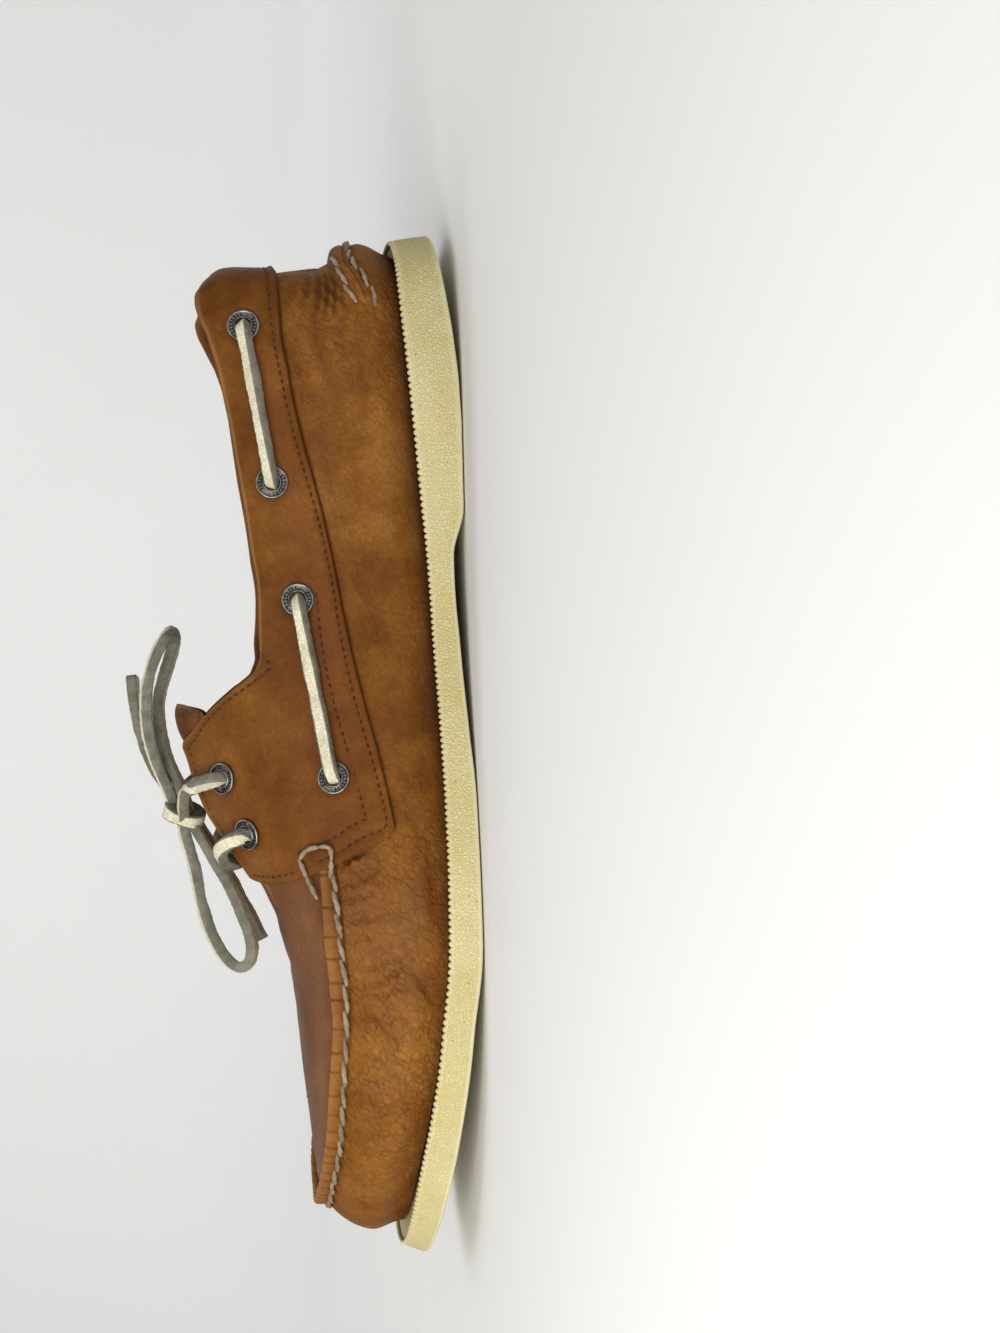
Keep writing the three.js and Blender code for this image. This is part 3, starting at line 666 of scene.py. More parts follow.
def lace_face():
    """The smooth side of the rawhide, with fine wrinkles across it."""
    s = Shader("lace_smooth", Specular_IOR_Level=0.3)
    patch = s.noise(5, 4, 0.6)
    crackle = s.span(s.cells(1.1, s.wobble(1.5, 1.2)), 0.0, 0.16, 1.0, 0.0)
    grime = s.noise(1.1, 4, 0.65)
    colour = s.mix(s.span(patch, 0.35, 0.65), (0.68, 0.63, 0.45), (0.82, 0.79, 0.60))
    colour = s.mix(s.times(crackle, 0.32), colour, (0.28, 0.23, 0.13))
    colour = s.mix(s.span(grime, 0.5, 0.72, 0.0, 0.4), colour, (0.40, 0.35, 0.23))
    height = s.plus(s.times(crackle, -0.5), s.times(grime, 0.4))
    return s.finish(colour, 0.5, s.bump(height, 0.15))


def lace_suede():
    """The napped sides of the rawhide."""
    s = Shader("lace_suede", Specular_IOR_Level=0.1)
    patch = s.noise(4, 4, 0.6)
    nap = s.noise(0.4, 5, 0.75)
    colour = s.mix(s.span(patch, 0.35, 0.65), (0.20, 0.19, 0.145), (0.31, 0.295, 0.235))
    colour = s.mix(s.span(nap, 0.35, 0.65, 0.45, 0.0), colour, (0.075, 0.068, 0.05))
    return s.finish(colour, 0.95, s.bump(nap, 0.35))


def nickel():
    """Antique nickel, dark with patina in its groove, and with painted shade down its barrel and at
    the rim's foot.
    """
    s = Shader("eyelet_metal", Metallic=1.0)
    wear = s.noise(1.5, 4, 0.6)
    colour = s.mix(s.span(wear, 0.35, 0.65), (0.19, 0.185, 0.17), (0.35, 0.34, 0.315))
    # dark: patina in the groove, painted shade down the barrel and at the rim's foot
    colour = s.mix(s.look("dark"), colour, (0.012, 0.011, 0.010))
    return s.finish(colour, s.span(wear, 0.3, 0.7, 0.3, 0.52), s.bump(wear, 0.05))


def thread(name, dark, light, rough=0.8):
    s = Shader(name, Specular_IOR_Level=0.25)
    fibre = s.noise(0.35, 4, 0.7)
    patch = s.noise(5, 3, 0.6)
    colour = s.mix(s.span(patch, 0.35, 0.65), dark, light)
    colour = s.mix(s.span(fibre, 0.35, 0.65, 0.5, 0.0), colour, tuple(c * 0.35 for c in dark))
    return s.finish(colour, rough, s.bump(fibre, 0.12))


DEEP_BROWN = (0.055, 0.016, 0.004)
UPPER_LEATHER = leather("leather_upper", (0.165, 0.054, 0.005), (0.24, 0.088, 0.010),
                        (0.325, 0.138, 0.023), DEEP_BROWN)
SADDLE_LEATHER = leather("leather_saddle", (0.128, 0.040, 0.003), (0.178, 0.062, 0.006),
                         (0.235, 0.091, 0.012), DEEP_BROWN)
# A darker copy of the upper's leather for the toe's top panel: painted shade on the top of the toe.
SHADED_PLUG_LEATHER = leather("leather_plug_shaded", (0.103, 0.037, 0.011), (0.143, 0.056, 0.017),
                       (0.195, 0.083, 0.029), DEEP_BROWN)
TONGUE_LEATHER = leather("leather_tongue", (0.12, 0.042, 0.010), (0.17, 0.064, 0.017),
                         (0.23, 0.096, 0.030), (0.03, 0.010, 0.004))
# The lining's own colours darkened to about six tenths: painted shade inside the shoe.
SHADED_LINING_LEATHER = plain_leather("lining_leather_shaded", (0.05, 0.02, 0.010), (0.08, 0.034, 0.018), 0.75)
INSOLE_LEATHER = plain_leather("insole_leather", (0.17, 0.085, 0.038), (0.25, 0.13, 0.062), 0.6)
RUBBER = rubber()
LACE_SMOOTH = lace_face()
LACE_SUEDE = lace_suede()
NICKEL = nickel()
THICK_THREAD = thread("thick_thread", (0.25, 0.185, 0.12), (0.42, 0.34, 0.24))
FINE_THREAD = thread("fine_thread", (0.05, 0.016, 0.004), (0.095, 0.033, 0.009), 0.7)

# ---- laces --------------------------------------------------------------------------------

LACE_WIDTH = 4.0
LACE_THICKNESS = 3.2
BOW_STEP = 0.9         # between the points of the bow's paths
BAR_STEP = 0.8


def lace_section():
    """Corner-rounded rectangle; its first three sides are the smooth face."""
    w, t, r = LACE_WIDTH / 2, LACE_THICKNESS / 2, 0.5
    half = [(-w + r, t), (-w / 3, t), (w / 3, t), (w - r, t), (w - 0.3 * r, t - 0.3 * r),
            (w, t - r), (w, 0), (w, -t + r), (w - 0.3 * r, -t + 0.3 * r)]
    low = [(w - r, -t), (0, -t), (-w + r, -t), (-w + 0.3 * r, -t + 0.3 * r), (-w, -t + r),
           (-w, 0), (-w, t - r), (-w + 0.3 * r, t - 0.3 * r)]
    return np.array(half + low)


LACE_SECTION = lace_section()


def lace_body(path, face, seed, loop=False, scale=1.0):
    """Points, faces and which faces are the smooth side, for a lace along a path."""
    if loop:
        along = unit(np.roll(path, -1, 0) - np.roll(path, 1, 0))
    else:
        along = unit(np.gradient(path, axis=0))
    face = unit(face - (face * along).sum(1, keepdims=True) * along)
    side = np.cross(along, face)
    around = len(LACE_SECTION)
    broad = (1 + 0.05 * ripple(reach_along(path), seed, 6.0)) * scale
    rng = np.random.default_rng(seed + 1)
    nap = rng.normal(size=(len(path), around)) * 0.07
    nap[:, 1:3] *= 0.2
    section = LACE_SECTION * broad[:, None, None] + nap[..., None] * unit(LACE_SECTION)
    points = path[:, None] + side[:, None] * section[..., :1] + face[:, None] * section[..., 1:]
    faces = loft_faces(len(path), around, loop)
    smooth_side = np.tile(np.r_[np.ones(3), np.zeros(around - 3)], len(path) - (0 if loop else 1))
    if not loop:
        smooth_side = np.r_[smooth_side, 0, 0]
    return points.reshape(-1, 3), faces, smooth_side.astype(int)


def lace(name, path, face, seed, replaces=(), loop=False, scale=1.0):
    points, faces, smooth_side = lace_body(path, face, seed, loop, scale)
    return piece(name, points, faces, LACE_SUEDE, "lace_leather", replaces,
                 second=(LACE_SMOOTH, smooth_side))


def along_path(vectors, count):
    """Hand-set vectors spread evenly along a path of this many points."""
    vectors = np.array(vectors, float)
    at = np.linspace(0, 1, count)
    knots = np.linspace(0, 1, len(vectors))
    return unit(np.stack([np.interp(at, knots, vectors[:, k]) for k in range(3)], 1))


LEAD_OUTER = [(157.3, 24.4, 73.4), (159.1, 17.5, 77.6), (161.4, 12.5, 79.5), (165.4, 9.2, 79.8)]
LEAD_INNER = [(157.2, -18.2, 73.7), (159.3, -11.2, 78.2), (162, -6.6, 80.2), (165, -3.4, 81)]
LOOP_FRONT = [
    (172.4, 4, 79.8), (182.9, 5.5, 77), (192.7, 7, 75.4), (201, 9, 72.9), (207.8, 12, 69.2),
    (210.9, 15.5, 65), (208.6, 18.5, 61.8), (203.2, 18.8, 61.3), (195.3, 16.5, 63.8),
    (186.8, 12.5, 67.5), (180.7, 9, 71), (172.8, 6, 75.6),
]
END_FRONT = [(171, 0, 75.6), (179.1, 1, 71), (185.1, 3, 67.6), (195, 6, 62.4), (203.8, 8, 58.2)]
LOOP_REAR = [
    (161.7, 3, 83.6), (151.2, 7, 87.6), (141.1, 10, 89.6), (131.1, 11.5, 89.4), (122.4, 11.5, 87),
    (116.2, 10, 83.8), (114.8, 5.5, 81.6), (118.8, 1.5, 81.6), (126.2, 0.5, 84),
    (134.1, 0.5, 86.2), (142.7, 1, 86), (152.8, 2, 83.6), (161.2, 3.2, 79.7),
]
END_REAR = [(162, -1.6, 83), (152.9, -4, 88.6), (142.7, -7, 92), (134, -10, 93.6), (127.2, -12, 94)]
CROSSING = [
    (173.9, 28, 67.2), (177, 21.8, 69.6), (179.8, 17, 68.8), (181.2, 11, 65.8), (181.4, 3, 64.7),
    (181.2, -5, 65.8), (179.8, -11, 68.8), (177, -15.8, 69.6), (173.9, -22, 67.2),
]


def saddle_place(side, number, height=0.0):
    """An eyelet's centre on the saddle, raised by height, and the way it faces."""
    u, rise = locate([EYELETS[number]], SIDES[side], [0, 2], SADDLE_SKIN)[0]
    face = normal_at(u, rise, SADDLE_SKIN)
    return last(u, rise, SADDLE_SKIN) + face * height, face


def lace_facing(path, side):
    """The way a lying lace's smooth face points: across its path, and a little to +Y."""
    along = unit(np.gradient(path, axis=0))
    return unit(side * np.cross(along, (0, 1.0, 0)) + np.array([0, 0.25, 0]))


def eased(points):
    """A lace's path through these points, with its sharp turns relaxed."""
    path = spline(points, BOW_STEP)
    for _ in range(8):
        path[1:-1] = 0.5 * path[1:-1] + 0.25 * (path[:-2] + path[2:])
    return resample(path, int(length_of(path) / BOW_STEP))


def make_bow():
    outer_start, outer_face = saddle_place("outer", 5)
    inner_start, inner_face = saddle_place("inner", 5)
    outer = eased([outer_start - outer_face * 1.5, outer_start + outer_face * 1.6, *LEAD_OUTER,
                   (168.5, 6, 79.9), *LOOP_FRONT, (167, 2.5, 79), *END_REAR])
    inner = eased([inner_start - inner_face * 1.5, inner_start + inner_face * 1.6, *LEAD_INNER,
                   (165.5, 0.5, 82.6), *LOOP_REAR, (166.4, 2, 78.4), *END_FRONT])
    for name, path, side, nodes, seed in (
        ("bow_lace_outer", outer, 1, ("bow_lead_outer", "bow_loop_front", "bow_end_rear"), 11),
        ("bow_lace_inner", inner, -1, ("bow_lead_inner", "bow_loop_rear", "bow_end_front"), 12),
    ):
        face = lace_facing(path, side)
        lead = 1 - smoothstep(np.arange(len(path)) * BOW_STEP, 10, 17)[:, None]
        face = unit(lerp(face, np.array([0.85, 0.5, 0.2]), lead))
        made = lace(name, path, face, seed, nodes, scale=0.95)
    turn = round_angles(48)[:, None]
    centre = np.array([167.2, 2.6, 79.6])
    ring = centre + np.cos(turn) * (-1.2, 0, 4.3) + np.sin(turn) * (1.6, 4.4, 0)
    lace("bow_knot_wrap", ring, ring - centre, 13, ("bow_knot",), loop=True)


make_bow()

# ---- saddle: collar band and lacing flaps -------------------------------------------------


def drawn(table, side, axes, grow=SADDLE_SKIN):
    return locate(spline(table, 1.0), side, axes, grow)


def on_skin(places, grow=SADDLE_SKIN):
    return last(places[:, 0], places[:, 1], grow)


def throat_y(x, side):
    return spine_bend(x) + side * throat_half(x)


def collar_top(x, side):
    return topline(x) + (inner_topline(x) if side < 0 else 0)


def saddle_edges(side):
    """The outline's four sides on one side of the shoe, as (u, rise) lines."""
    u = np.abs((0 if side > 0 else 2) - np.linspace(0, 0.62, 500))
    low = np.stack([u, rise_where(u, saddle_lower, SADDLE_SKIN)], 1)
    low = low[on_skin(low)[:, 0] < SADDLE_FRONT[0][0] - 1.5]
    x = np.linspace(124, THROAT_END, 90)
    throat = locate(np.stack([x, throat_y(x, side)], 1), side, [0, 1], SADDLE_SKIN)
    throat = throat[on_skin(throat)[:, 2] < topline(x)]
    top = np.stack([u, rise_where(u, lambda at: collar_top(at, side), SADDLE_SKIN)], 1)
    top = top[on_skin(top)[:, 0] < on_skin(throat)[0, 0] - 1.5]
    top = np.vstack([top, throat])
    front = drawn(SADDLE_FRONT, side, [0, 2])
    front = np.vstack([front, throat[-1:]])
    low = np.vstack([low, front[:1]])
    back_rise = np.linspace(low[0, 1], top[0, 1], 60)
    back = np.stack([np.full(60, low[0, 0]), back_rise], 1)
    return low, top, back, front


def patch_grid(edges, columns, rows):
    """A grid of (u, rise) inside four boundary lines."""
    low, top, back, front = edges
    low = resample(low, columns, on_skin(low))
    top = resample(top, columns, on_skin(top))
    back = resample(back, rows, on_skin(back))
    front = resample(front, rows, on_skin(front))
    s = np.linspace(0, 1, columns)[:, None, None]
    t = np.linspace(0, 1, rows)[None, :, None]
    across = lerp(low[:, None], top[:, None], t)
    along = lerp(back[None], front[None], s)
    corners = lerp(lerp(low[0], low[-1], s), lerp(top[0], top[-1], s), t)
    return across + along - corners


SADDLE_COLUMNS = 300
SADDLE_ROWS = 68
SADDLE_GRIDS = {side: patch_grid(saddle_edges(sign), SADDLE_COLUMNS, SADDLE_ROWS)
                for side, sign in SIDES.items()}


def row_line(side, away, edge="low", start=0.0, stop=1.0):
    """(u, rise) line this far inside one edge of the saddle, between shares of its length."""
    grid = SADDLE_GRIDS[side]
    if edge == "top":
        grid = grid[:, ::-1]
    if edge == "front":
        grid = grid[::-1].transpose(1, 0, 2)
    skin = last(grid[..., 0], grid[..., 1], SADDLE_SKIN)
    reach = np.linalg.norm(np.diff(skin, axis=1), axis=2).cumsum(axis=1)
    reach = np.concatenate([np.zeros((len(reach), 1)), reach], 1)
    first, final = int(start * (len(grid) - 1)), int(stop * (len(grid) - 1))
    return np.array([[np.interp(away, reach[k], grid[k, :, axis]) for axis in (0, 1)]
                     for k in range(first, final + 1)])


def cornered(first, second):
    """The first line up to where it meets the second, and the second from there on."""
    gap = np.linalg.norm(on_skin(first)[:, None] - on_skin(second)[None], axis=2)
    end, start = np.unravel_index(np.argmin(gap), gap.shape)
    return np.vstack([first[:end], second[start:]])


# The flap's row starts with a short V at the end of the collar.
FLAP_ROW_START = [(121.4, 57.0), (123.4, 55.9), (125.5, 54.7)]
FLAP_ROW = [(125.9, 55.0), (128, 57.6), (131, 61.6), (135.9, 68.4), (141, 73.2), (146.3, 76.6)]


def stitch_rows(side):
    """Rows of fine stitches on one side of the saddle; the two long ones turn a sharp corner."""
    outer_row = cornered(row_line(side, 2.4), row_line(side, 2.7, "front", 0.0, 0.44))
    second = row_line(side, 8.2, "low", 0.5)
    second = second[on_skin(second)[:, 0] > 104.8]
    inner_row = cornered(second, row_line(side, 7.0, "front", 0.0, 0.53))
    flap = drawn(FLAP_ROW, SIDES[side], [0, 2])
    throat = row_line(side, 2.9, "top", 0.5, 0.965)
    throat = throat[on_skin(throat)[:, 0] > 147]
    front = row_line(side, 2.0, "front", 0.58, 0.95)
    return [outer_row, inner_row, drawn(FLAP_ROW_START, SIDES[side], [0, 2]),
            np.vstack([flap, throat]), front]


def saddle_relief(flat, from_low, from_top, collar):
    """Height, tone and red of the saddle's leather, by place. The tone is painted shade along the
    stitch rows, round the eyelets and at the lower edge, and a painted highlight along the top edge.
    """
    relief = np.zeros(len(flat))
    tone = np.zeros(len(flat))
    for side, sign in SIDES.items():
        chosen = np.sign(flat[:, 1] - 1) == sign
        for line in stitch_rows(side):
            away, _ = distance_to(flat[chosen], on_skin(line)[::2])
            relief[chosen] -= 0.26 * bell(away, 0, 0.7)
            # painted shade along the stitch row
            tone[chosen] -= 0.18 * bell(away, 0, 0.8)
        for number in EYELETS:
            centre, _ = saddle_place(side, number)
            away = np.linalg.norm(flat[chosen] - centre, axis=1)
            relief[chosen] += 0.22 * bell(away, 6.6, 1.5) - 0.35 * bell(away, 2.0, 2.6)
            # painted shade in a ring round the eyelet
            tone[chosen] -= 0.12 * bell(away, 5.2, 1.2)
    relief += 0.22 * bell(from_low, 0.5, 0.7) - 0.10 * bell(from_low, 1.4, 0.4)
    relief += collar * 0.2 * bell(from_top, 2.4, 2.6)
    # painted shade along the lower edge, where it stands over the upper; a painted highlight along the
    # top edge
    tone -= 0.16 * bell(from_low, 1.4, 0.4) + 0.4 * bell(from_low, 0, 0.5)
    tone += (0.22 * collar + 0.12) * bell(from_top, 0, 0.9)
    red = 0.45 * bell(flat[:, 0], 150, 30) * bell(flat[:, 2], 40, 10)
    red += 0.5 * bell(from_low, 7, 4) * smoothstep(flat[:, 0], 20, 60) * collar
    return relief, tone, red


def make_saddle():
    places = np.vstack([SADDLE_GRIDS["inner"][::-1], SADDLE_GRIDS["outer"][1:]])
    u, rise = places[..., 0], places[..., 1]
    skin = last(u, rise, SADDLE_SKIN)
    columns, rows = u.shape
    flat = skin.reshape(-1, 3)
    share = np.tile(np.linspace(0, 1, rows), columns)
    height = np.linalg.norm(np.diff(skin, axis=1), axis=2).sum(axis=1).repeat(rows)
    collar = 1 - smoothstep(flat[:, 0], 118, 132)
    relief, tone, red = saddle_relief(flat, share * height, (1 - share) * height, collar)
    grown = skin + normal_at(u, rise, SADDLE_SKIN) * relief.reshape(columns, rows, 1)

    # over the top edge, and down inside the collar or round a flap's cut edge
    fold_steps = 7
    fold = 1 - smoothstep(skin[:, -1, 0], 116, 128)
    inside = lerp(GAP - 0.1, -1.0, fold)
    lining = lerp(GAP - 0.1, -WALL + 0.1, fold)
    depth = lerp(0.03, 0.16, fold)
    top_u, top_rise = u[:, -1], rise[:, -1]
    middle, radius = (SADDLE_SKIN + inside) / 2, (SADDLE_SKIN - inside) / 2
    rings = []
    for angle in math.pi * np.arange(1, fold_steps + 1) / (fold_steps + 1):
        edge = last(top_u, top_rise, middle + radius * math.cos(angle))
        edge[:, 2] += radius * math.sin(angle) * lerp(0.55, 0.8, fold)
        rings.append(edge)
    rings += [last(top_u, top_rise - depth * t, inside) for t in (0.0, 0.3, 0.65, 1.0)]
    rings += [last(top_u, top_rise - depth, lining), last(top_u, top_rise - 0.035, lining),
              last(top_u, top_rise - 0.035, GAP - 0.1), last(u[:, 0], rise[:, 0], GAP - 0.15),
              last(u[:, 0], rise[:, 0] - 0.004, 1.0)]
    sections = np.concatenate([grown, np.stack(rings, 1)], axis=1)
    around = sections.shape[1]
    # painted shade: darkest on the rings inside the collar and flaps, and darker on the fold as it
    # turns in
    tones = whole_rings(tone, columns, around, -0.9)
    turn = np.linspace(0, 1, fold_steps)
    tones[:, rows:rows + fold_steps] = -(0.1 + 0.5 * fold)[:, None] * turn
    grain = whole_rings(np.full(len(flat), 0.25), columns, around, 0.1)
    lofted("collar_saddle_leather", sections, False, SADDLE_LEATHER, "leather_saddle",
           ("collar_saddle",), looks=leather_looks(tones, grain, whole_rings(red, columns, around)))


def stitch_solid(start, end, out, width, height, sink):
    """One fine stitch: a short rounded bar, sunk this far in the leather."""
    path = np.array([lerp(start, end, t) for t in (0, 0.25, 0.5, 0.75, 1)])
    bow = np.array([-0.35, 0.12, 0.2, 0.12, -0.35]) * height
    path = path + out * (bow - sink)[:, None]
    along = unit(end - start)
    side = np.cross(out, along)
    size = np.array([0.35, 0.9, 1, 0.9, 0.35])
    angle = round_angles(8)
    rings = [p + side * (width / 2 * s * np.cos(angle))[:, None]
             + out * (height / 2 * s * np.sin(angle))[:, None] for p, s in zip(path, size)]
    return np.vstack(rings), loft_faces(5, 8, False)


FINE_PITCH = 2.3
FINE_LENGTH = 1.7


def fine_row(line):
    """The stitches of one row on the saddle."""
    skin = on_skin(line)
    starts = resample(line, int(length_of(skin) / FINE_PITCH) + 1, skin)
    share = FINE_LENGTH / FINE_PITCH
    parts = []
    for a, b in zip(starts[:-1], starts[1:]):
        start = last(*a, SADDLE_SKIN)
        end = last(*lerp(a, b, share), SADDLE_SKIN)
        out = normal_at(*lerp(a, b, share / 2), SADDLE_SKIN)
        parts.append(stitch_solid(start, end, out, width=0.5, height=0.44, sink=0.24))
    return parts


def make_saddle_stitches():
    parts = []
    for side in SIDES:
        for line in stitch_rows(side):
            parts += fine_row(line)
    joined_piece("saddle_stitches", parts, FINE_THREAD, "leather_saddle")


make_saddle()
make_saddle_stitches()

# ---- eyelets and the laces through them ---------------------------------------------------


# radius, height off the saddle and darkness: patina in the groove, painted shade down the barrel and
# at the rim's foot
EYELET_PROFILE = [
    (2.2, -2.6, 1.0), (2.2, 0.35, 0.9), (2.28, 0.78, 0.3), (2.42, 0.9, 0.0), (2.56, 0.8, 0.2),
    (2.68, 0.6, 0.8), (3.1, 0.56, 0.45), (3.6, 0.56, 0.45), (3.85, 0.62, 0.7), (4.02, 0.84, 0.0),
    (4.25, 0.86, 0.0), (4.45, 0.66, 0.1), (4.5, 0.35, 0.4), (4.45, 0.1, 0.7), (2.6, 0.1, 1.0),
    (2.6, -2.6, 1.0),
]
EYELET_SEGMENTS = 56
# Two arcs of plain ticks in the ring's groove: radius and half width of a tick's corners.
TICK_TURNS = [math.pi / 11 * (k + 0.5) for k in (*range(8), *range(11, 19))]
TICK_OUTLINE = [(2.85, -0.12), (3.7, -0.15), (3.7, 0.15), (2.85, 0.12)]


def make_eyelet(side, number):
    centre, face = saddle_place(side, number)
    across = unit(np.cross((0, 0, 1.0), face))
    upward = np.cross(face, across)

    def spoke(turn):
        return across * math.cos(turn) + upward * math.sin(turn)

    rings = np.array([[centre + spoke(turn) * r + face * h for r, h, _ in EYELET_PROFILE]
                      for turn in round_angles(EYELET_SEGMENTS)])
    parts = [(rings, grid_faces(EYELET_SEGMENTS, len(EYELET_PROFILE), True, True))]
    dark = [np.tile([row[2] for row in EYELET_PROFILE], EYELET_SEGMENTS)]
    for turn in TICK_TURNS:
        along, aside = spoke(turn), spoke(turn + math.pi / 2)
        low = [centre + along * r + aside * w + face * 0.6 for r, w in TICK_OUTLINE]
        high = [p + face * 0.12 for p in low]
        parts.append((np.array(low + high), [[0, 1, 2, 3], [7, 6, 5, 4], [0, 4, 5, 1],
                                             [1, 5, 6, 2], [2, 6, 7, 3], [3, 7, 4, 0]]))
        dark.append(np.full(8, 0.97))
    name = f"eyelet_{number}_{side}"
    joined_piece(f"{name}_ring", parts, NICKEL, "eyelet_metal", (name,),
                 looks={"dark": np.concatenate(dark)}, weld=True)


def make_bar(name, side, first, final, rolls, seed):
    """A length of lace from one eyelet to the next. rolls are degrees that its face turns up."""
    start, start_face = saddle_place(side, first)
    end, end_face = saddle_place(side, final)
    along = unit(end - start)
    middle = []
    for share in (0.22, 0.5, 0.78):
        x, z = lerp(np.array(EYELETS[first], float), np.array(EYELETS[final], float), share)
        u, rise = locate([(x, z)], SIDES[side], [0, 2], SADDLE_SKIN)[0]
        out = normal_at(u, rise, SADDLE_SKIN)
        middle.append(last(u, rise, SADDLE_SKIN) + out * 2.0)
    path = spline([
        start - start_face * 2.4 - along * 0.3, start + start_face * 0.2,
        start + start_face * 2.3 + along * 1.9, start + start_face * 2.6 + along * 5.2, *middle,
        end + end_face * 2.6 - along * 5.2, end + end_face * 2.3 - along * 1.9,
        end + end_face * 0.2, end - end_face * 2.4 + along * 0.3], BAR_STEP)
    share = np.linspace(0, 1, len(path))
    face = unit(lerp(start_face, end_face, share[:, None]) + 1e-3)
    side_way = np.cross(unit(np.gradient(path, axis=0)), face)
    upward = np.where(side_way[:, 2:] > 0, side_way, -side_way)
    angle = np.radians(np.interp(share, np.linspace(0, 1, len(rolls)), rolls))[:, None]
    lace(f"{name}_{side}_lace", path, face * np.cos(angle) + upward * np.sin(angle), seed,
         (f"{name}_{side}",), scale=0.9)


def make_crossing():
    ends = [saddle_place(side, 6) for side in ("outer", "inner")]
    (start, start_face), (end, end_face) = ends
    path = spline([start - start_face * 2.4, start + start_face * 2.2, *CROSSING,
                   end + end_face * 2.2, end - end_face * 2.4], BAR_STEP)
    middle = np.array([(0.25, 0.4, 0.9)] * 3)
    face = along_path([start_face + (0.5, 0, 0), *middle, end_face + (0.5, 0, 0)], len(path))
    lace("lace_crossing_strip", path, face, 31, ("lace_crossing",))


for side_name in SIDES:
    for eyelet_number in EYELETS:
        make_eyelet(side_name, eyelet_number)
    make_bar("lace_bar_rear", side_name, 1, 2, (30, 42, 45, 40, 25), 21)
    make_bar("lace_bar_front", side_name, 3, 4, (35, 28, 14, 6, 4), 22)
make_crossing()

# ---- upper --------------------------------------------------------------------------------

# Under the saddle the upper stops at this height, and round the toe at the seam.
UPPER_TOP = [(-12, 58.5), (29, 57), (74, 49), (112, 42.5), (135, 41), (170, 40.8)]
upper_top = through(UPPER_TOP)

# Creases: (depth, width, side-view points from end to end). A negative depth is a ridge.
CREASES = [
    (0.34, 0.8, [(213.5, 34.6), (212.7, 29), (210.2, 24.7), (206.8, 19.6)]),
    (0.26, 0.7, [(215.8, 33.6), (215.7, 29), (214.1, 23.6), (213.5, 19.4)]),
    (0.22, 0.6, [(200.6, 34.8), (200, 31), (199.7, 27.5)]),
    (0.26, 0.7, [(208.2, 34.2), (207.8, 28.8), (206, 25.4), (204.5, 15.7)]),
    (0.30, 0.9, [(185.6, 37.4), (184, 31.3), (181.1, 26.6)]),
    (0.26, 0.8, [(179.9, 38.1), (182, 33.5), (186.1, 24.9)]),
    (0.24, 0.7, [(190.2, 37.6), (189.2, 33), (187.2, 28.3)]),
    (0.22, 0.7, [(196, 36.2), (195, 30.8), (194.9, 25)]),
    (0.26, 0.9, [(209.2, 20.5), (212.5, 16.7), (217.3, 13.4)]),
    (0.26, 0.8, [(219.4, 24.5), (224.6, 20), (228.6, 16.3)]),
    (0.28, 0.8, [(220.4, 33.8), (223, 29.2), (227, 25.5), (231, 22.8)]),
    (0.20, 0.7, [(214.1, 16), (220, 12.2)]),
    (0.22, 0.8, [(230, 33), (234, 28), (240, 23)]),
    (0.20, 0.8, [(241, 35), (246, 30), (250, 26)]),
    (0.20, 1.0, [(223, 18), (228, 12.5), (233, 10.5)]),
    (0.70, 0.8, [(13.5, 38.4), (21, 38.6), (29, 40.4)]),
    (0.85, 0.7, [(14, 36.2), (20.5, 36.2), (28.5, 37.4)]),
    (0.85, 0.7, [(15, 34.0), (21, 34.2), (28, 34.8)]),
    (0.60, 0.6, [(19, 32.5), (23, 32.3), (27.5, 31.8)]),
    (0.50, 0.8, [(12, 41.2), (19, 41.8), (26, 43.8)]),
    (0.30, 1.0, [(15, 45), (20, 46.4), (25.2, 48.5)]),
    (1.10, 0.75, [(176.4, 30.6), (177.9, 33.8), (179.0, 35.8), (180.4, 37.6)]),
    (0.26, 1.6, [(34.6, 48.7), (43.7, 45.4), (49.8, 43.6)]),
    (0.24, 1.6, [(36.6, 44.2), (46.8, 41.5), (56.8, 38.7)]),
    (0.24, 1.4, [(28, 32.5), (34.6, 33.6), (40.7, 32.3)]),
    (0.22, 1.8, [(27, 40), (38, 38.4), (52, 34)]),
    (0.20, 1.8, [(30, 27), (42, 27.6), (54, 26)]),
    (-0.30, 2.6, [(30, 44), (42, 42), (54, 39)]),
    (0.20, 2.2, [(60, 40), (75, 37), (92, 31)]),
    (0.18, 2.0, [(98, 30), (112, 26), (124, 20)]),
    (0.22, 1.6, [(160, 20), (168, 17), (178, 16)]),
    (0.20, 1.4, [(170, 14.5), (184, 13), (196, 13)]),
]
INNER_CREASE_SHIFT = 4.5      # the inner side has the same ones, a little further forward
# Broad swellings and hollows: (height, x, z, reach in x, reach in z).
SWELLINGS = [
    (0.9, 30, 24, 16, 7), (-0.8, 24, 38, 8, 4), (0.5, 70, 30, 26, 8), (-0.5, 112, 24, 20, 7),
    (0.6, 205, 26, 16, 6), (-0.4, 222, 30, 10, 5), (0.7, 250, 28, 18, 6), (-0.35, 182, 30, 6, 6),
]


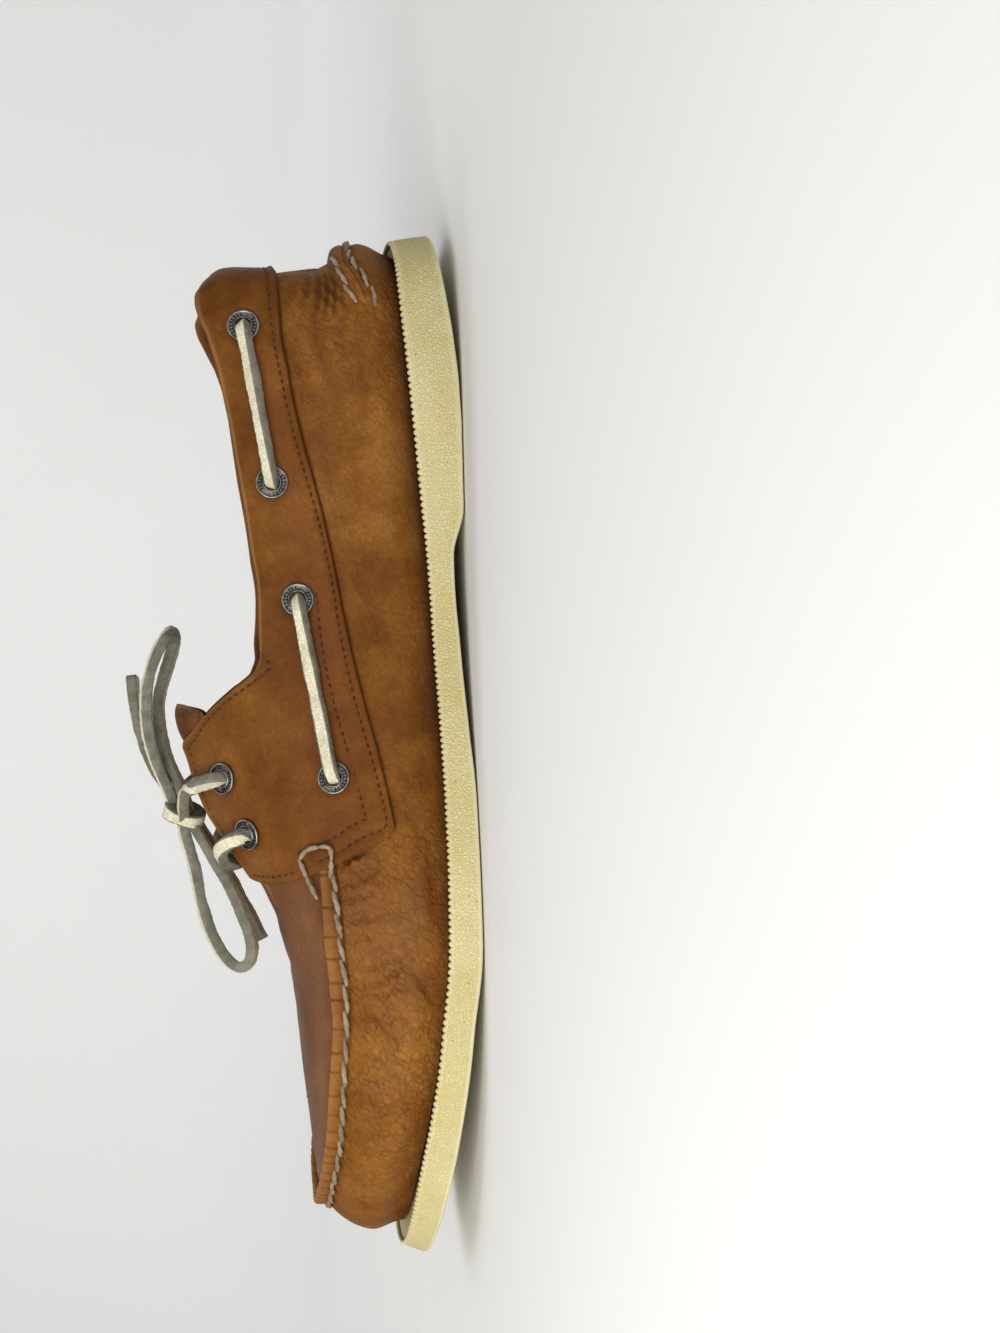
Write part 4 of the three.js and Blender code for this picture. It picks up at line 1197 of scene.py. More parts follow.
def crease_relief(flat, u):
    """Height and tone of the outer leather's creases and swellings, by place; the tone is painted
    shade in the creases' troughs.
    """
    relief = np.zeros(len(flat))
    tone = np.zeros(len(flat))
    seen = flat[:, [0, 2]]
    for side, shift in ((u < 1, 0), (u >= 1, INNER_CREASE_SHIFT)):
        for depth, width, points in CREASES:
            line = spline([(x + shift, z) for x, z in points], 1.0)
            box = ((seen[:, 0] > line[:, 0].min() - 4 * width)
                   & (seen[:, 0] < line[:, 0].max() + 4 * width) & side)
            away, where = distance_to(seen[box], line)
            away += 0.35 * np.sin(seen[box, 0] * 1.3 + seen[box, 1] * 1.7)
            fade = np.sin(math.pi * np.clip(where, 0.02, 0.98)) ** 0.6
            trough = bell(away, 0, width)
            relief[box] -= depth * fade * (trough - 0.45 * bell(away, 2 * width, 1.4 * width))
            # painted shade in the crease's trough
            tone[box] -= 0.95 * depth * fade * trough
    for height, x, z, reach_x, reach_z in SWELLINGS:
        relief += height * bell(seen[:, 0], x, reach_x) * bell(seen[:, 1], z, reach_z)
    return relief, tone


def pucker(u, lift):
    """Fine gathers where the leather is drawn in over the sole."""
    reach = u * HALF_ROUND
    wave = np.sin(reach * 2 * math.pi / 2.1 + 1.5 * ripple(reach, 5, 9))
    strong = 0.10 + 0.16 * bell(from_heel(u), 0, 45) + 0.08 * smoothstep(from_heel(u), 250, 310)
    return wave * strong * bell(lift, 1.5, 2.6)


def upper_looks(flat, u):
    """Height, tone, grain and red of the upper's leather, by place."""
    x, z = flat[:, 0], flat[:, 2]
    plan_x = plan_at(u)[:, 0]
    lift = z - sole_top(plan_x)
    seam_z = toe_seam(plan_x)
    heel = from_heel(u)
    relief, tone = crease_relief(flat, u)
    relief += pucker(u, lift)

    # gathers round the heel under the collar band, and along the toe's seam
    radial = np.sin(heel * 2 * math.pi / 5.2 + 1.2 * ripple(heel, 8, 7))
    dart_fold = bell(z, 38, 5) * (1 - smoothstep(heel, 8, 34))
    relief += 0.45 * radial * dart_fold
    gather = np.sin(u * HALF_ROUND * 2 * math.pi / 6.4 + 1.2 * ripple(u, 9, 0.03))
    near_seam = bell(z, seam_z, 3.2) * smoothstep(x, 180, 200)
    relief += (0.12 + 0.2 * smoothstep(x, 240, 285)) * gather * near_seam

    # painted shade: darker by the sole, over the heel half, along the seam, in the gathers' troughs
    # and under the heel's lip; a little darker at the toe's front; a painted highlight on the swelling
    # by the heel and over the vamp
    near_toe = smoothstep(x, 130, 190)
    tone -= (0.70 - 0.16 * near_toe) * bell(lift, 0, 2.4)
    tone -= (0.34 - 0.27 * near_toe) * bell(lift, 0, 6)
    tone -= 0.10 * (1 - near_toe) + 0.05 * smoothstep(x, 235, 265)
    tone -= 0.25 * bell(z, seam_z, 1.2) * smoothstep(x, 178, 190)
    tone -= 0.3 * dart_fold * np.maximum(-radial, 0)
    tone -= 0.8 * bell(z, 34.5, 1.8) * (1 - smoothstep(heel, 20, 36))
    tone += 0.12 * bell(z, 24, 6) * bell(x, 35, 22) + 0.10 * bell(x, 200, 22)
    grain = 0.45 + 0.55 * smoothstep(x, 150, 190) + 0.35 * (1 - smoothstep(x, 40, 70))
    grain *= 1 - 0.45 * smoothstep(x, 250, 285)
    red = 0.5 * bell(x, 188, 9) * bell(z, 32, 5) + 0.35 * bell(x, 60, 30) * bell(z, 40, 5)
    return relief, tone, grain, red


def make_upper():
    columns, rows = 960, 88
    u = np.linspace(0, 2, columns, endpoint=False)
    plan_x = plan_at(u)[:, 0]
    seam = seam_rise(u)
    under_saddle = lerp(rise_where(u, upper_top, 0.0), seam, smoothstep(plan_x, 166, 174))
    top = np.where(plan_x > 174, seam, under_saddle)
    rise = top[:, None] * np.linspace(0, 1, rows)[None] ** 0.9
    round_u = np.repeat(u[:, None], rows, 1)
    skin = last(round_u, rise, 0.0)
    relief, tone, grain, red = upper_looks(skin.reshape(-1, 3), round_u.ravel())
    grown = skin + normal_at(round_u, rise, 0.0) * relief.reshape(columns, rows, 1)
    inner = [last(u, top * t, -1.3)[:, None] for t in (0.985, 0.6, 0.25, 0.01)]
    sections = np.concatenate([grown, *inner], axis=1)
    around = sections.shape[1]
    tone, grain, red = (whole_rings(values, columns, around) for values in (tone, grain, red))
    lofted("upper_leather", sections, True, UPPER_LEATHER, "leather_upper", ("upper",),
           looks=leather_looks(tone, grain, red))


def plug_columns(count):
    """u of columns round the toe's top panel, in pairs that meet on the middle line."""
    outer = side_range(1, 2000)
    outer = np.linspace(outer[np.argmax(plan_at(outer)[:, 0] > 176)], 1, count)
    toe = len(PLAN) // 2
    inner = np.interp(plan_at(outer)[:, 0], PLAN[toe:, 0][::-1], PLAN_U[toe:][::-1])
    return np.r_[outer, inner[-2::-1]]


PLUG_POINT_X = 252      # in front of this the plug's columns fan out round the toe


def relax_middle(made, reach):
    """Smooths a mesh near the last's middle line, where the two sides meet."""
    work = bmesh.new()
    work.from_mesh(made.data)
    near = []
    for point in work.verts:
        x = point.co.x * 1000 + HEEL_REST_X
        away = abs(point.co.y * 1000 - spine_bend(x))
        if not point.is_boundary and x < PLUG_POINT_X and away < reach:
            near.append(point)
    for _ in range(20):
        bmesh.ops.smooth_vert(work, verts=near, factor=0.5, use_axis_x=True, use_axis_y=True,
                              use_axis_z=True)
    work.to_mesh(made.data)
    work.free()


# The plug's bends across the toe: (x, depth, width).
PLUG_BENDS = [(197, 0.30, 2.2), (203, 0.22, 1.6), (211, 0.32, 2.4), (218, 0.2, 1.8),
              (226, 0.16, 2.0)]


def make_plug():
    u = plug_columns(210)
    rows = 64
    start = seam_rise(u)
    rise = lerp(start[:, None], 1.0, np.sin(np.linspace(0, math.pi / 2, rows))[None])
    round_u = np.repeat(u[:, None], rows, 1)
    skin = last(round_u, rise, -0.3)
    out = normal_at(round_u, np.minimum(rise, 0.985), 0.0)
    x, y = skin[..., 0], skin[..., 1]
    edge = np.linalg.norm((skin - skin[:, :1])[..., :2], axis=-1)
    gather = np.sin(round_u * HALF_ROUND * 2 * math.pi / 7.0 + 1.5 * ripple(round_u, 10, 0.03))
    relief = 0.35 * bell(edge, 6, 3) - 0.55 * bell(edge, 0, 2.5)
    relief += 0.16 * gather * bell(edge, 0, 4)
    fade = bell(y, -2, 24, 4)
    for place, depth, width in PLUG_BENDS:
        bend = place + 0.004 * (y + 2) ** 2 + 1.2 * np.sin(y / 6 + place)
        wave = 0.6 * bell(x, bend + 2.4 * width, width) - bell(x, bend, width)
        relief += depth * fade * wave
    # painted shade along the seam edge, and a painted highlight on the raised band beside it
    tone = 0.08 * bell(edge, 7, 4) - 0.30 * bell(edge, 0, 1.6)
    grown = skin + out * relief[..., None]
    grown[:, -1] = (grown[:, -1] + grown[::-1, -1]) / 2
    made = sheet("toe_plug", grown, False, SHADED_PLUG_LEATHER, "leather_upper", weld=True,
                 looks=leather_looks(tone, 0.5, 0.1 + 0.3 * bell(x, 186, 14)))
    relax_middle(made, 14)
    thicken(made, 1.3, -1)


# ---- moccasin seam ------------------------------------------------------------------------

LIP_HEIGHT = 4.6
LIP_HALF = 1.25
# The lip's section: shares of its half width and height, and tone, which is painted shade at its foot
# and a painted highlight along its crown.
TOE_LIP_SECTION = [
    (-1.0, -0.25, -0.4), (-1.04, 0.15, -0.2), (-1.1, 0.4, 0), (-1.1, 0.62, 0.096),
    (-1.0, 0.8, 0.16), (-0.78, 0.93, 0.24), (-0.4, 0.995, 0.24), (0.1, 1.0, 0.16),
    (0.55, 0.95, 0.08), (0.86, 0.82, 0), (1.0, 0.62, 0), (1.0, 0.4, -0.08), (0.95, 0.15, -0.24),
    (0.9, -0.25, -0.4),
]


def lip_range():
    """u along the seam, from under one flap's front edge round the toe to the other."""
    bounds = []
    for side in (1, -1):
        u = side_range(side, 3000)
        bounds.append(u[np.argmax(plan_at(u)[:, 0] > 181.5)])
    return bounds


def seam_frame(u):
    """Seam points with the inward direction there."""
    foot = last(u, seam_rise(u), -0.6)
    inward = np.concatenate([inward_at(u), np.zeros((len(u), 1))], 1)
    return foot, inward


def notches(reach, toe_reach, seed):
    """Narrow cuts across the lip, closer together at the toe."""
    rng = np.random.default_rng(seed)
    cut = np.zeros(len(reach))
    swell = np.zeros(len(reach))
    at = 2.0
    while at < reach[-1]:
        gap = rng.uniform(3.2, 9.5) * lerp(1.0, 0.5, bell(at, toe_reach, 75))
        cut += rng.uniform(0.5, 1.0) * bell(reach, at, 0.28)
        swell += rng.uniform(0.3, 1.0) * bell(reach, at + gap / 2, 0.33 * gap)
        at += gap
    return cut, swell


def make_toe_lip():
    first, final = lip_range()
    u = np.linspace(first, final, 1100)
    foot, inward = seam_frame(u)
    reach = reach_along(foot)
    toe_reach = reach[np.argmax(foot[:, 0])]
    cut, swell = notches(reach, toe_reach, 41)
    ends = np.minimum(reach, reach[-1] - reach)
    height = LIP_HEIGHT * lerp(0.86, 1.0, smoothstep(ends, 0, 14)) * (1 - 0.10 * cut)
    height *= 1 + 0.05 * ripple(reach, 42, 11)
    half = LIP_HALF * (1 - 0.16 * cut + 0.14 * swell)
    lean = 0.35 * ripple(reach, 43, 16)
    rings = []
    for across, up, _ in TOE_LIP_SECTION:
        side = across * half + lean * max(up, 0)
        point = foot + inward * side[:, None]
        point[:, 2] += up * height
        rings.append(point)
    # painted shade in the notches
    tone = np.array([row[2] for row in TOE_LIP_SECTION]) - 0.75 * np.clip(cut, 0, 1)[:, None]
    lofted("toe_lip_leather", np.stack(rings, 1), False, UPPER_LEATHER, "leather_upper",
           looks=leather_looks(tone, 0.25))


STITCH_STEPS = 15


def thick_stitch(path, radius, seed):
    """A spindle of two-ply thread along a path, its ends tucked in."""
    rng = np.random.default_rng(seed)
    count = len(path)
    along = unit(np.gradient(path, axis=0))
    side = unit(np.cross(along, (0.2, 0.1, 1.0)))
    up = np.cross(side, along)
    t = np.linspace(0, 1, count)
    size = radius * (0.35 + 0.65 * np.sin(math.pi * t) ** 0.45)
    angle = round_angles(10)
    twist = rng.uniform(0, 6) + t * 7.5
    ply = 1 + 0.16 * np.cos(2 * (angle[None] - twist[:, None]))
    rings = (path[:, None] + side[:, None] * (size[:, None] * ply * np.cos(angle))[..., None]
             + up[:, None] * (size[:, None] * ply * np.sin(angle))[..., None])
    return rings.reshape(-1, 3), loft_faces(count, 10, False)


def make_toe_stitches():
    parts = []
    rng = np.random.default_rng(44)
    for out, lift, row_seed in ((-1, 0.55, 50), (1, 0.75, 90)):
        first, final = lip_range()
        u = np.linspace(first, final, 1600)
        foot, inward = seam_frame(u)
        reach = reach_along(foot)
        at = 0.4
        number = 0
        t = np.linspace(0, 1, STITCH_STEPS)
        bow = 0.42 + 0.3 * np.sin(math.pi * t) - 0.35 * np.cos(2 * math.pi * t)
        while at < reach[-1] - 4:
            length = rng.uniform(5.9, 7.4)
            want = np.linspace(at - 0.35, min(at + length + 0.35, reach[-1]), STITCH_STEPS)
            spot = np.stack([np.interp(want, reach, foot[:, k]) for k in range(3)], 1)
            push = np.stack([np.interp(want, reach, inward[:, k]) for k in range(3)], 1)
            away = out * (LIP_HALF + bow)
            path = spot + push * away[:, None]
            path[:, 2] += lift + 0.42 * np.cos(math.pi * t) * (1 if out < 0 else -1)
            parts.append(thick_stitch(path, rng.uniform(0.62, 0.74), row_seed + number))
            at += length
            number += 1
    for sign in SIDES.values():
        parts += start_loop(sign)
    joined_piece("toe_seam_thread", parts, THICK_THREAD, "leather_upper")


# The thread's first loop, over the saddle's front edge: side view, and height off the saddle.
START_LOOP = [
    [(178.4, 47.8, 1.0), (176.3, 46.4, 1.0), (175.3, 44.4, 1.0), (175.0, 42.4, 1.0)],
    [(175.0, 42.6, 1.2), (174.9, 41.0, 1.2), (175.6, 39.8, 1.2), (178.6, 39.4, 1.2)],
    [(178.2, 39.5, 1.3), (181, 39.6, 1.2), (183.4, 40.1, 0.9)],
    [(178.2, 48.0, 1.1), (180.2, 47.2, 1.1), (183.4, 46.0, 1.0)],
    [(183, 46.2, 0.9), (186, 45.2, 0.3), (189.4, 44.0, -0.3)],
]


def start_loop(sign):
    made = []
    for k, table in enumerate(START_LOOP):
        curve = spline(table, 0.45)
        places = locate(curve[:, :2], sign, [0, 2], SADDLE_SKIN)
        out = normal_at(places[:, 0], places[:, 1], SADDLE_SKIN)
        path = on_skin(places) + out * curve[:, 2:]
        made.append(thick_stitch(path, 0.66, 200 + k))
    return made


make_upper()
make_plug()
make_toe_lip()
make_toe_stitches()

# ---- heel seam ----------------------------------------------------------------------------

# The gathered lip across the back of the heel: reach from the back along each side, the heights
# of its lower and upper edges, and how far it stands off the leather.
HEEL_LIP = [
    (0, 29.3, 33.8, 1.2), (12, 29.3, 33.8, 1.3), (22, 29.6, 34.2, 1.5), (28.5, 29.2, 34.2, 1.5),
    (34, 27.2, 33.0, 1.4), (39.5, 24.6, 31.4, 1.1), (43, 23.3, 29.8, 0.8), (47, 22.5, 28.2, 0.3),
    (51, 22.4, 26.6, 0.0),
]
HEEL_LIP_REACH = HEEL_LIP[-1][0]
heel_lip_low = through(HEEL_LIP, 1)
heel_lip_high = through(HEEL_LIP, 2)
heel_lip_proud = through(HEEL_LIP, 3)
HEEL_SEAM_STEP = 30.4      # above this the leather is drawn in


def heel_u(reach):
    """u at a signed distance from the back of the heel, positive along the outer side."""
    return np.where(reach >= 0, reach / SIDE_LENGTHS[0], 2 + reach / SIDE_LENGTHS[1])


def heel_skin(reach, z, proud):
    """A point off the heel's leather, on a smooth slope above the seam near the back."""
    u = heel_u(reach)
    below = np.minimum(z, HEEL_SEAM_STEP)
    point = last(u, rise_at(u, below), proud)
    lean = 0.16 * np.maximum(z - below, 0) * (1 - smoothstep(np.abs(reach), 10, 34))
    point[..., :2] += inward_at(u) * lean[..., None]
    point[..., 2] = z
    return point


def make_heel_lip():
    columns = 300
    reach = np.linspace(-HEEL_LIP_REACH, HEEL_LIP_REACH, columns)
    size = np.abs(reach)
    low, high, proud = heel_lip_low(size), heel_lip_high(size), heel_lip_proud(size)
    cut, swell = notches(reach + HEEL_LIP_REACH, HEEL_LIP_REACH, 61)
    split = 0.42 + 0.05 * ripple(reach, 62, 9)
    rings = []
    tones = []
    for t in np.linspace(0, 1, 21):
        z = lerp(low, high, t)
        crown = np.sin(math.pi * np.clip(t, 0.02, 0.98)) ** 0.5
        crease = bell(t, split, 0.055)
        height = proud * crown * (1 - 0.10 * cut + 0.08 * swell) - 0.55 * crease * proud / 1.8
        rings.append(heel_skin(reach, z, height + 0.1))
        # painted shade at the lip's foot, in its crease and in the notches; a painted highlight along
        # its crown
        edge = np.interp(t, [0, 0.12, 0.5, 0.88, 1], [-0.6, -0.1, 0.1, -0.1, -0.6])
        tones.append(edge - 0.5 * crease - 0.3 * np.clip(cut, 0, 1))
    rings += [heel_skin(reach, lerp(low, high, t), -2.2) for t in (0.9, 0.5, 0.1)]
    # painted shade on the rings under the lip
    tone = np.stack(tones + [np.full(columns, -0.5)] * 3, 1)
    lofted("heel_lip_leather", np.stack(rings, 1), False, UPPER_LEATHER, "leather_upper",
           looks=leather_looks(tone, 0.7, 0.25))


def make_heel_stitches():
    """Two strands of stitches along the lip's edges; each stitch starts inside the one before."""
    parts = []
    t = np.linspace(0, 1, STITCH_STEPS)
    rng = np.random.default_rng(64)
    for row, (share, stop, off) in enumerate(((0.02, 47, 0.35), (0.98, 47.5, 0.3))):
        for sign in (1, -1):
            at = -1.5 if row == 0 else 27.0
            while at < stop - 3:
                length = rng.uniform(5.4, 7.0)
                size = np.minimum(np.abs(at + t * length), stop)
                z = lerp(heel_lip_low(size), heel_lip_high(size), share)
                z = z + 0.5 * np.cos(math.pi * t) * (-1 if row == 0 else 1)
                proud = heel_lip_proud(size) * 0.6 + off + 0.35 * np.sin(math.pi * t)
                proud -= 0.5 * smoothstep(size, stop - 3, stop)
                path = heel_skin(sign * (at + t * length), z, proud)
                parts.append(thick_stitch(path, rng.uniform(0.56, 0.68), 300 + len(parts)))
                at += length * 0.93
    joined_piece("heel_seam_thread", parts, THICK_THREAD, "leather_upper")


def make_back_seam():
    """Zigzag stitches up the back of the heel, between the lip and the collar band."""
    parts = []
    bottom = sole_top(0.0) + GAP
    for z in 37.6 + 1.55 * np.arange(9):
        for sign in (1, -1):
            u = heel_u(np.array([0.35 * sign, 1.9 * sign]))
            rise = (np.array([z + 0.5, z - 0.1]) - bottom) / (ridge(SPINE_BACK) - bottom)
            a, b = last(u, rise, 0.15)
            out = unit(np.array([-1.0, 0.1 * sign, 0.0]))
            parts.append(stitch_solid(a, b, out, width=0.8, height=0.9, sink=0.0))
    joined_piece("back_seam_stitches", parts, FINE_THREAD, "leather_upper")


make_heel_lip()
make_heel_stitches()
make_back_seam()

# ---- lining, insole and tongue ------------------------------------------------------------


def make_lining():
    """The inside of the quarters, from the insole up to the collar and flaps."""
    rows = 26
    halves = []
    for side in ("inner", "outer"):
        top = SADDLE_GRIDS[side][:, -1]
        line = resample(top, 150, on_skin(top))
        rise = lerp(0.02, line[:, 1:] - 0.012, np.linspace(0, 1, rows)[None])
        grid = np.stack([np.repeat(line[:, :1], rows, 1), rise], -1)
        halves.append(grid[::-1] if side == "inner" else grid[1:])
    grid = np.vstack(halves)
    u, rise = grid[..., 0], grid[..., 1]
    near = last(u, rise, -WALL + 0.15)
    wave = 0.25 * np.sin(near[..., 0] / 5.0) * np.sin(near[..., 2] / 9.0)
    out = normal_at(u, rise)
    face = near - out * (0.35 + wave[..., None] * 0.5)
    back = (near + out * 0.4)[:, ::-1][:, ::8]
    lofted("quarter_lining", np.concatenate([face, back], 1), False, SHADED_LINING_LEATHER,
           "leather_upper")


def make_insole():
    u = np.linspace(0, 2, 300, endpoint=False)
    floor = sole_top(plan_at(u)[:, 0]) + GAP
    edge = last(u, rise_at(u, floor + INSOLE_THICKNESS), -WALL - GAP)[:, :2]
    spine = spine_at(u)
    rings = []
    for t in np.linspace(0, 1, 26):
        flat = lerp(edge, spine, t)
        away = np.linalg.norm(flat - edge, axis=1)
        dish = -1.1 * smoothstep(away, 0, 16) * (1 - 0.4 * smoothstep(flat[:, 0], 70, 130))
        rings.append(np.c_[flat, sole_top(flat[:, 0]) + GAP + INSOLE_THICKNESS + dish])
    for t in (1, 0.5, 0.02):
        flat = lerp(edge, spine, t)
        rings.append(np.c_[flat, sole_top(flat[:, 0]) + GAP + 0.2])
    lofted("insole_leather_bed", np.stack(rings, 1), True, INSOLE_LEATHER, "insole_leather",
           ("insole",), weld=True)
    make_heel_pad()


def make_heel_pad():
    """A plain padded sock under the heel, with a stitched edge."""
    angle = round_angles(120)
    rings = []
    for t in np.linspace(0, 1, 16):
        x = 44 + 27 * np.cos(angle) * t + 3 * t * np.cos(2 * angle)
        y = 0.8 + 19.5 * np.sin(angle) * t * (1 - 0.05 * np.cos(angle))
        swell = 0.9 * (1 - smoothstep(t, 0.82, 1.0)) - 0.35 * bell(t, 0.84, 0.05)
        dish = -1.1 * smoothstep(12 * (1 - t) + 4.0, 0, 16)
        z = sole_top(x) + GAP + INSOLE_THICKNESS + dish + swell + 0.1
        rings.append(np.stack([x, y, z], 1))
    made = sheet("heel_pad", np.stack(rings, 1), True, INSOLE_LEATHER, "insole_leather", weld=True)
    thicken(made, 0.6, 0)


def softened(grid, times):
    """A grid of numbers with each averaged with its neighbours, a few times over."""
    for _ in range(times):
        wide = np.pad(grid, 1, mode="edge")
        grid = (wide[1:-1, 1:-1] * 4 + wide[:-2, 1:-1] + wide[2:, 1:-1] + wide[1:-1, :-2]
                + wide[1:-1, 2:]) / 8
    return grid


def make_tongue():
    """The tongue, lying under the flaps, with a rounded end that shows above them."""
    half_at = through(TONGUE_PLAN)
    columns, rows = 84, 45
    x = np.linspace(TONGUE_END, 192, columns)
    share = np.linspace(-1, 1, rows)
    wide = half_at(np.maximum(x, 137))
    y = spine_bend(x)[:, None] + wide[:, None] * share
    grid_x = x[:, None] + 2 * np.abs(share) ** 4 * np.exp(-(x[:, None] - TONGUE_END) / 5)
    z = np.zeros_like(y)
    for sign in SIDES.values():
        chosen = (y - spine_bend(grid_x)) * sign >= (0 if sign > 0 else 1e-9)
        places = locate(np.stack([grid_x[chosen], y[chosen]], 1), sign, [0, 1], -WALL - GAP)
        z[chosen] = on_skin(places, -WALL - GAP)[:, 2]
    near = np.abs(share) < 0.2
    for row in z:
        row[near] = np.interp(share[near], share[~near], row[~near])
    z = softened(z, 14) - 0.25
    z -= 0.3 * bell(grid_x, 146, 2.2) * np.cos(y / 14)
    z -= 1.6 * np.exp(-(grid_x - TONGUE_END) / 2.2)
    points = np.stack([grid_x, y, z], -1)
    from_end = reach_along(points[:, rows // 2])[:, None]
    rim = np.minimum(from_end, (1 - np.abs(share)) * wide[:, None])
    tone = 0.4 * bell(rim, 0, 0.9) - 0.3 * bell(rim, 2.2, 0.8)
    made = sheet("tongue_leather", points, False, TONGUE_LEATHER, "leather_tongue", ("tongue",),
                 looks=leather_looks(tone, 0.5))
    thicken(made, 1.9, -1)
    edge = made.modifiers.new("rounded", "BEVEL")
    edge.width = 0.0005
    edge.segments = 2
    edge.limit_method = "ANGLE"


make_lining()
make_insole()
make_tongue()

# ---- sole ---------------------------------------------------------------------------------

TREAD_INSET = 4.0
TREAD_RECESS = 0.9


def sole_ring(u, inset, z):
    flat = plan_at(u) + inward_at(u) * np.asarray(inset)[..., None]
    return np.c_[flat, z]


def side_row(t):
    """A ring of the sole's side at this share of its height, swelled a little."""
    return -0.22 * math.sin(math.pi * t), t, t, 0, 1.0, 0, 0


# The rings of the sole from the tread up and over its edge: inset, share of the top edge's inset,
# share of the height and lift, then pebbled, dirt_and_shade and edge. dirt_and_shade darkens the
# bottom a little and is painted shade in the crevice under the upper; edge is a painted highlight
# along the rims.
SOLE_RINGS = [
    (TREAD_INSET, 0, 0, TREAD_RECESS, 0, 0.5, 0), (TREAD_INSET - 0.25, 0, 0, 0.1, 0, 0.1, 0),
    (TREAD_INSET - 0.7, 0, 0, 0, 0, 0.12, 0), (1.2, 0, 0, 0, 0, 0.12, 0),
    (0.45, 0, 0, 0.12, 0, 0, 0.5), (0.08, 0, 0, 0.55, 0, 0, 0.65), (0, 0, 0, 1.0, 0.5, 0, 0.25),
    *(side_row(t) for t in (0.17, 0.24, 0.36, 0.5, 0.64, 0.78, 0.88)),
    (0, 0.96, 0.955, 0, 0.8, 0, 0.1), (0.15, 1, 1, -0.2, 0.2, 0, 0.2),
    (0.7, 1, 1, -0.15, 0, 0.25, 0), (2.2, 1, 1, -0.3, 0, 0.9, 0), (5.0, 1, 1, -0.3, 0, 0.9, 0),
]


def make_outsole():
    columns = 900
    u = np.linspace(0, 2, columns, endpoint=False)
    x = plan_at(u)[:, 0]
    low, high, inset = sole_bottom(x), sole_top(x), top_inset(x)
    spine = spine_at(u)
    rings = []
    looks = []
    tread_edge = sole_ring(u, TREAD_INSET, low)[:, :2]
    for t in (1.0, 0.5):
        flat = lerp(tread_edge, spine, t)
        rings.append(np.c_[flat, sole_bottom(flat[:, 0]) + TREAD_RECESS])
        looks.append((0, 0.35, 0))
    for own, share, height, lift, *look in SOLE_RINGS:
        rings.append(sole_ring(u, own + inset * share, lerp(low, high, height) + lift))
        looks.append(look)
    for t in (0.5, 1.0):
        flat = lerp(rings[len(SOLE_RINGS) + 1][:, :2], spine, t)
        rings.append(np.c_[flat, sole_top(flat[:, 0]) - 0.3])
        looks.append((0, 0.3, 0))
    pebbled, dirt_and_shade, edge = (np.tile(values, (columns, 1)) for values in np.array(looks).T)
    # less of it at the toe's tip, and painted shade on the sole's side towards the heel
    dirt_and_shade = dirt_and_shade * (1 - 0.65 * smoothstep(x, 272, 290))[:, None]
    dirt_and_shade += 0.20 * bell(from_heel(u), 0, 48)[:, None] * (pebbled > 0)
    sheet("outsole_rubber", np.stack(rings, 1), True, RUBBER, "sole_rubber", ("outsole",),
          weld=True, looks={"pebbled": pebbled, "dirt_and_shade": dirt_and_shade, "edge": edge})


TOOTH_PITCH = [(0, 1.9), (60, 1.85), (120, 1.65), (180, 1.75), (230, 2.05), (300, 2.1)]


def make_teeth():
    """The fine serrated edge that stands along the top of the sole."""
    u = np.linspace(0, 2, 3400, endpoint=False)
    x = plan_at(u)[:, 0]
    pitch = through(TOOTH_PITCH)(x)
    step = sum(SIDE_LENGTHS) / len(u)
    phase = np.cumsum(step / pitch)
    phase *= round(phase[-1]) / phase[-1]
    tooth = np.abs(np.sin(math.pi * phase)) ** 0.6
    inset = top_inset(x)
    high = sole_top(x)
    rings = [
        sole_ring(u, inset - 0.05, high - 0.7), sole_ring(u, inset - 0.02, high - 0.1),
        sole_ring(u, inset + 0.12 + 0.25 * (1 - tooth), high + 0.15 + 0.62 * tooth),
        sole_ring(u, inset + 0.75, high + 0.05 + 0.95 * tooth),
        sole_ring(u, inset + 1.35, high + 0.7 * tooth),
        sole_ring(u, inset + 1.6, high - 0.5), sole_ring(u, inset + 0.8, high - 0.9),
    ]
    # painted shade in the gaps between the teeth and in the crevice behind them
    dirt_and_shade = np.repeat((0.05 + 0.8 * (1 - tooth) ** 1.5)[:, None], len(rings), 1)
    dirt_and_shade[:, :2] = 0
    dirt_and_shade[:, 4:] = 0.8
    lofted("sole_serration", np.stack(rings, 1), True, RUBBER, "sole_rubber",
           looks={"pebbled": 0 * dirt_and_shade, "dirt_and_shade": dirt_and_shade, "edge": 0 * dirt_and_shade + 0.1})


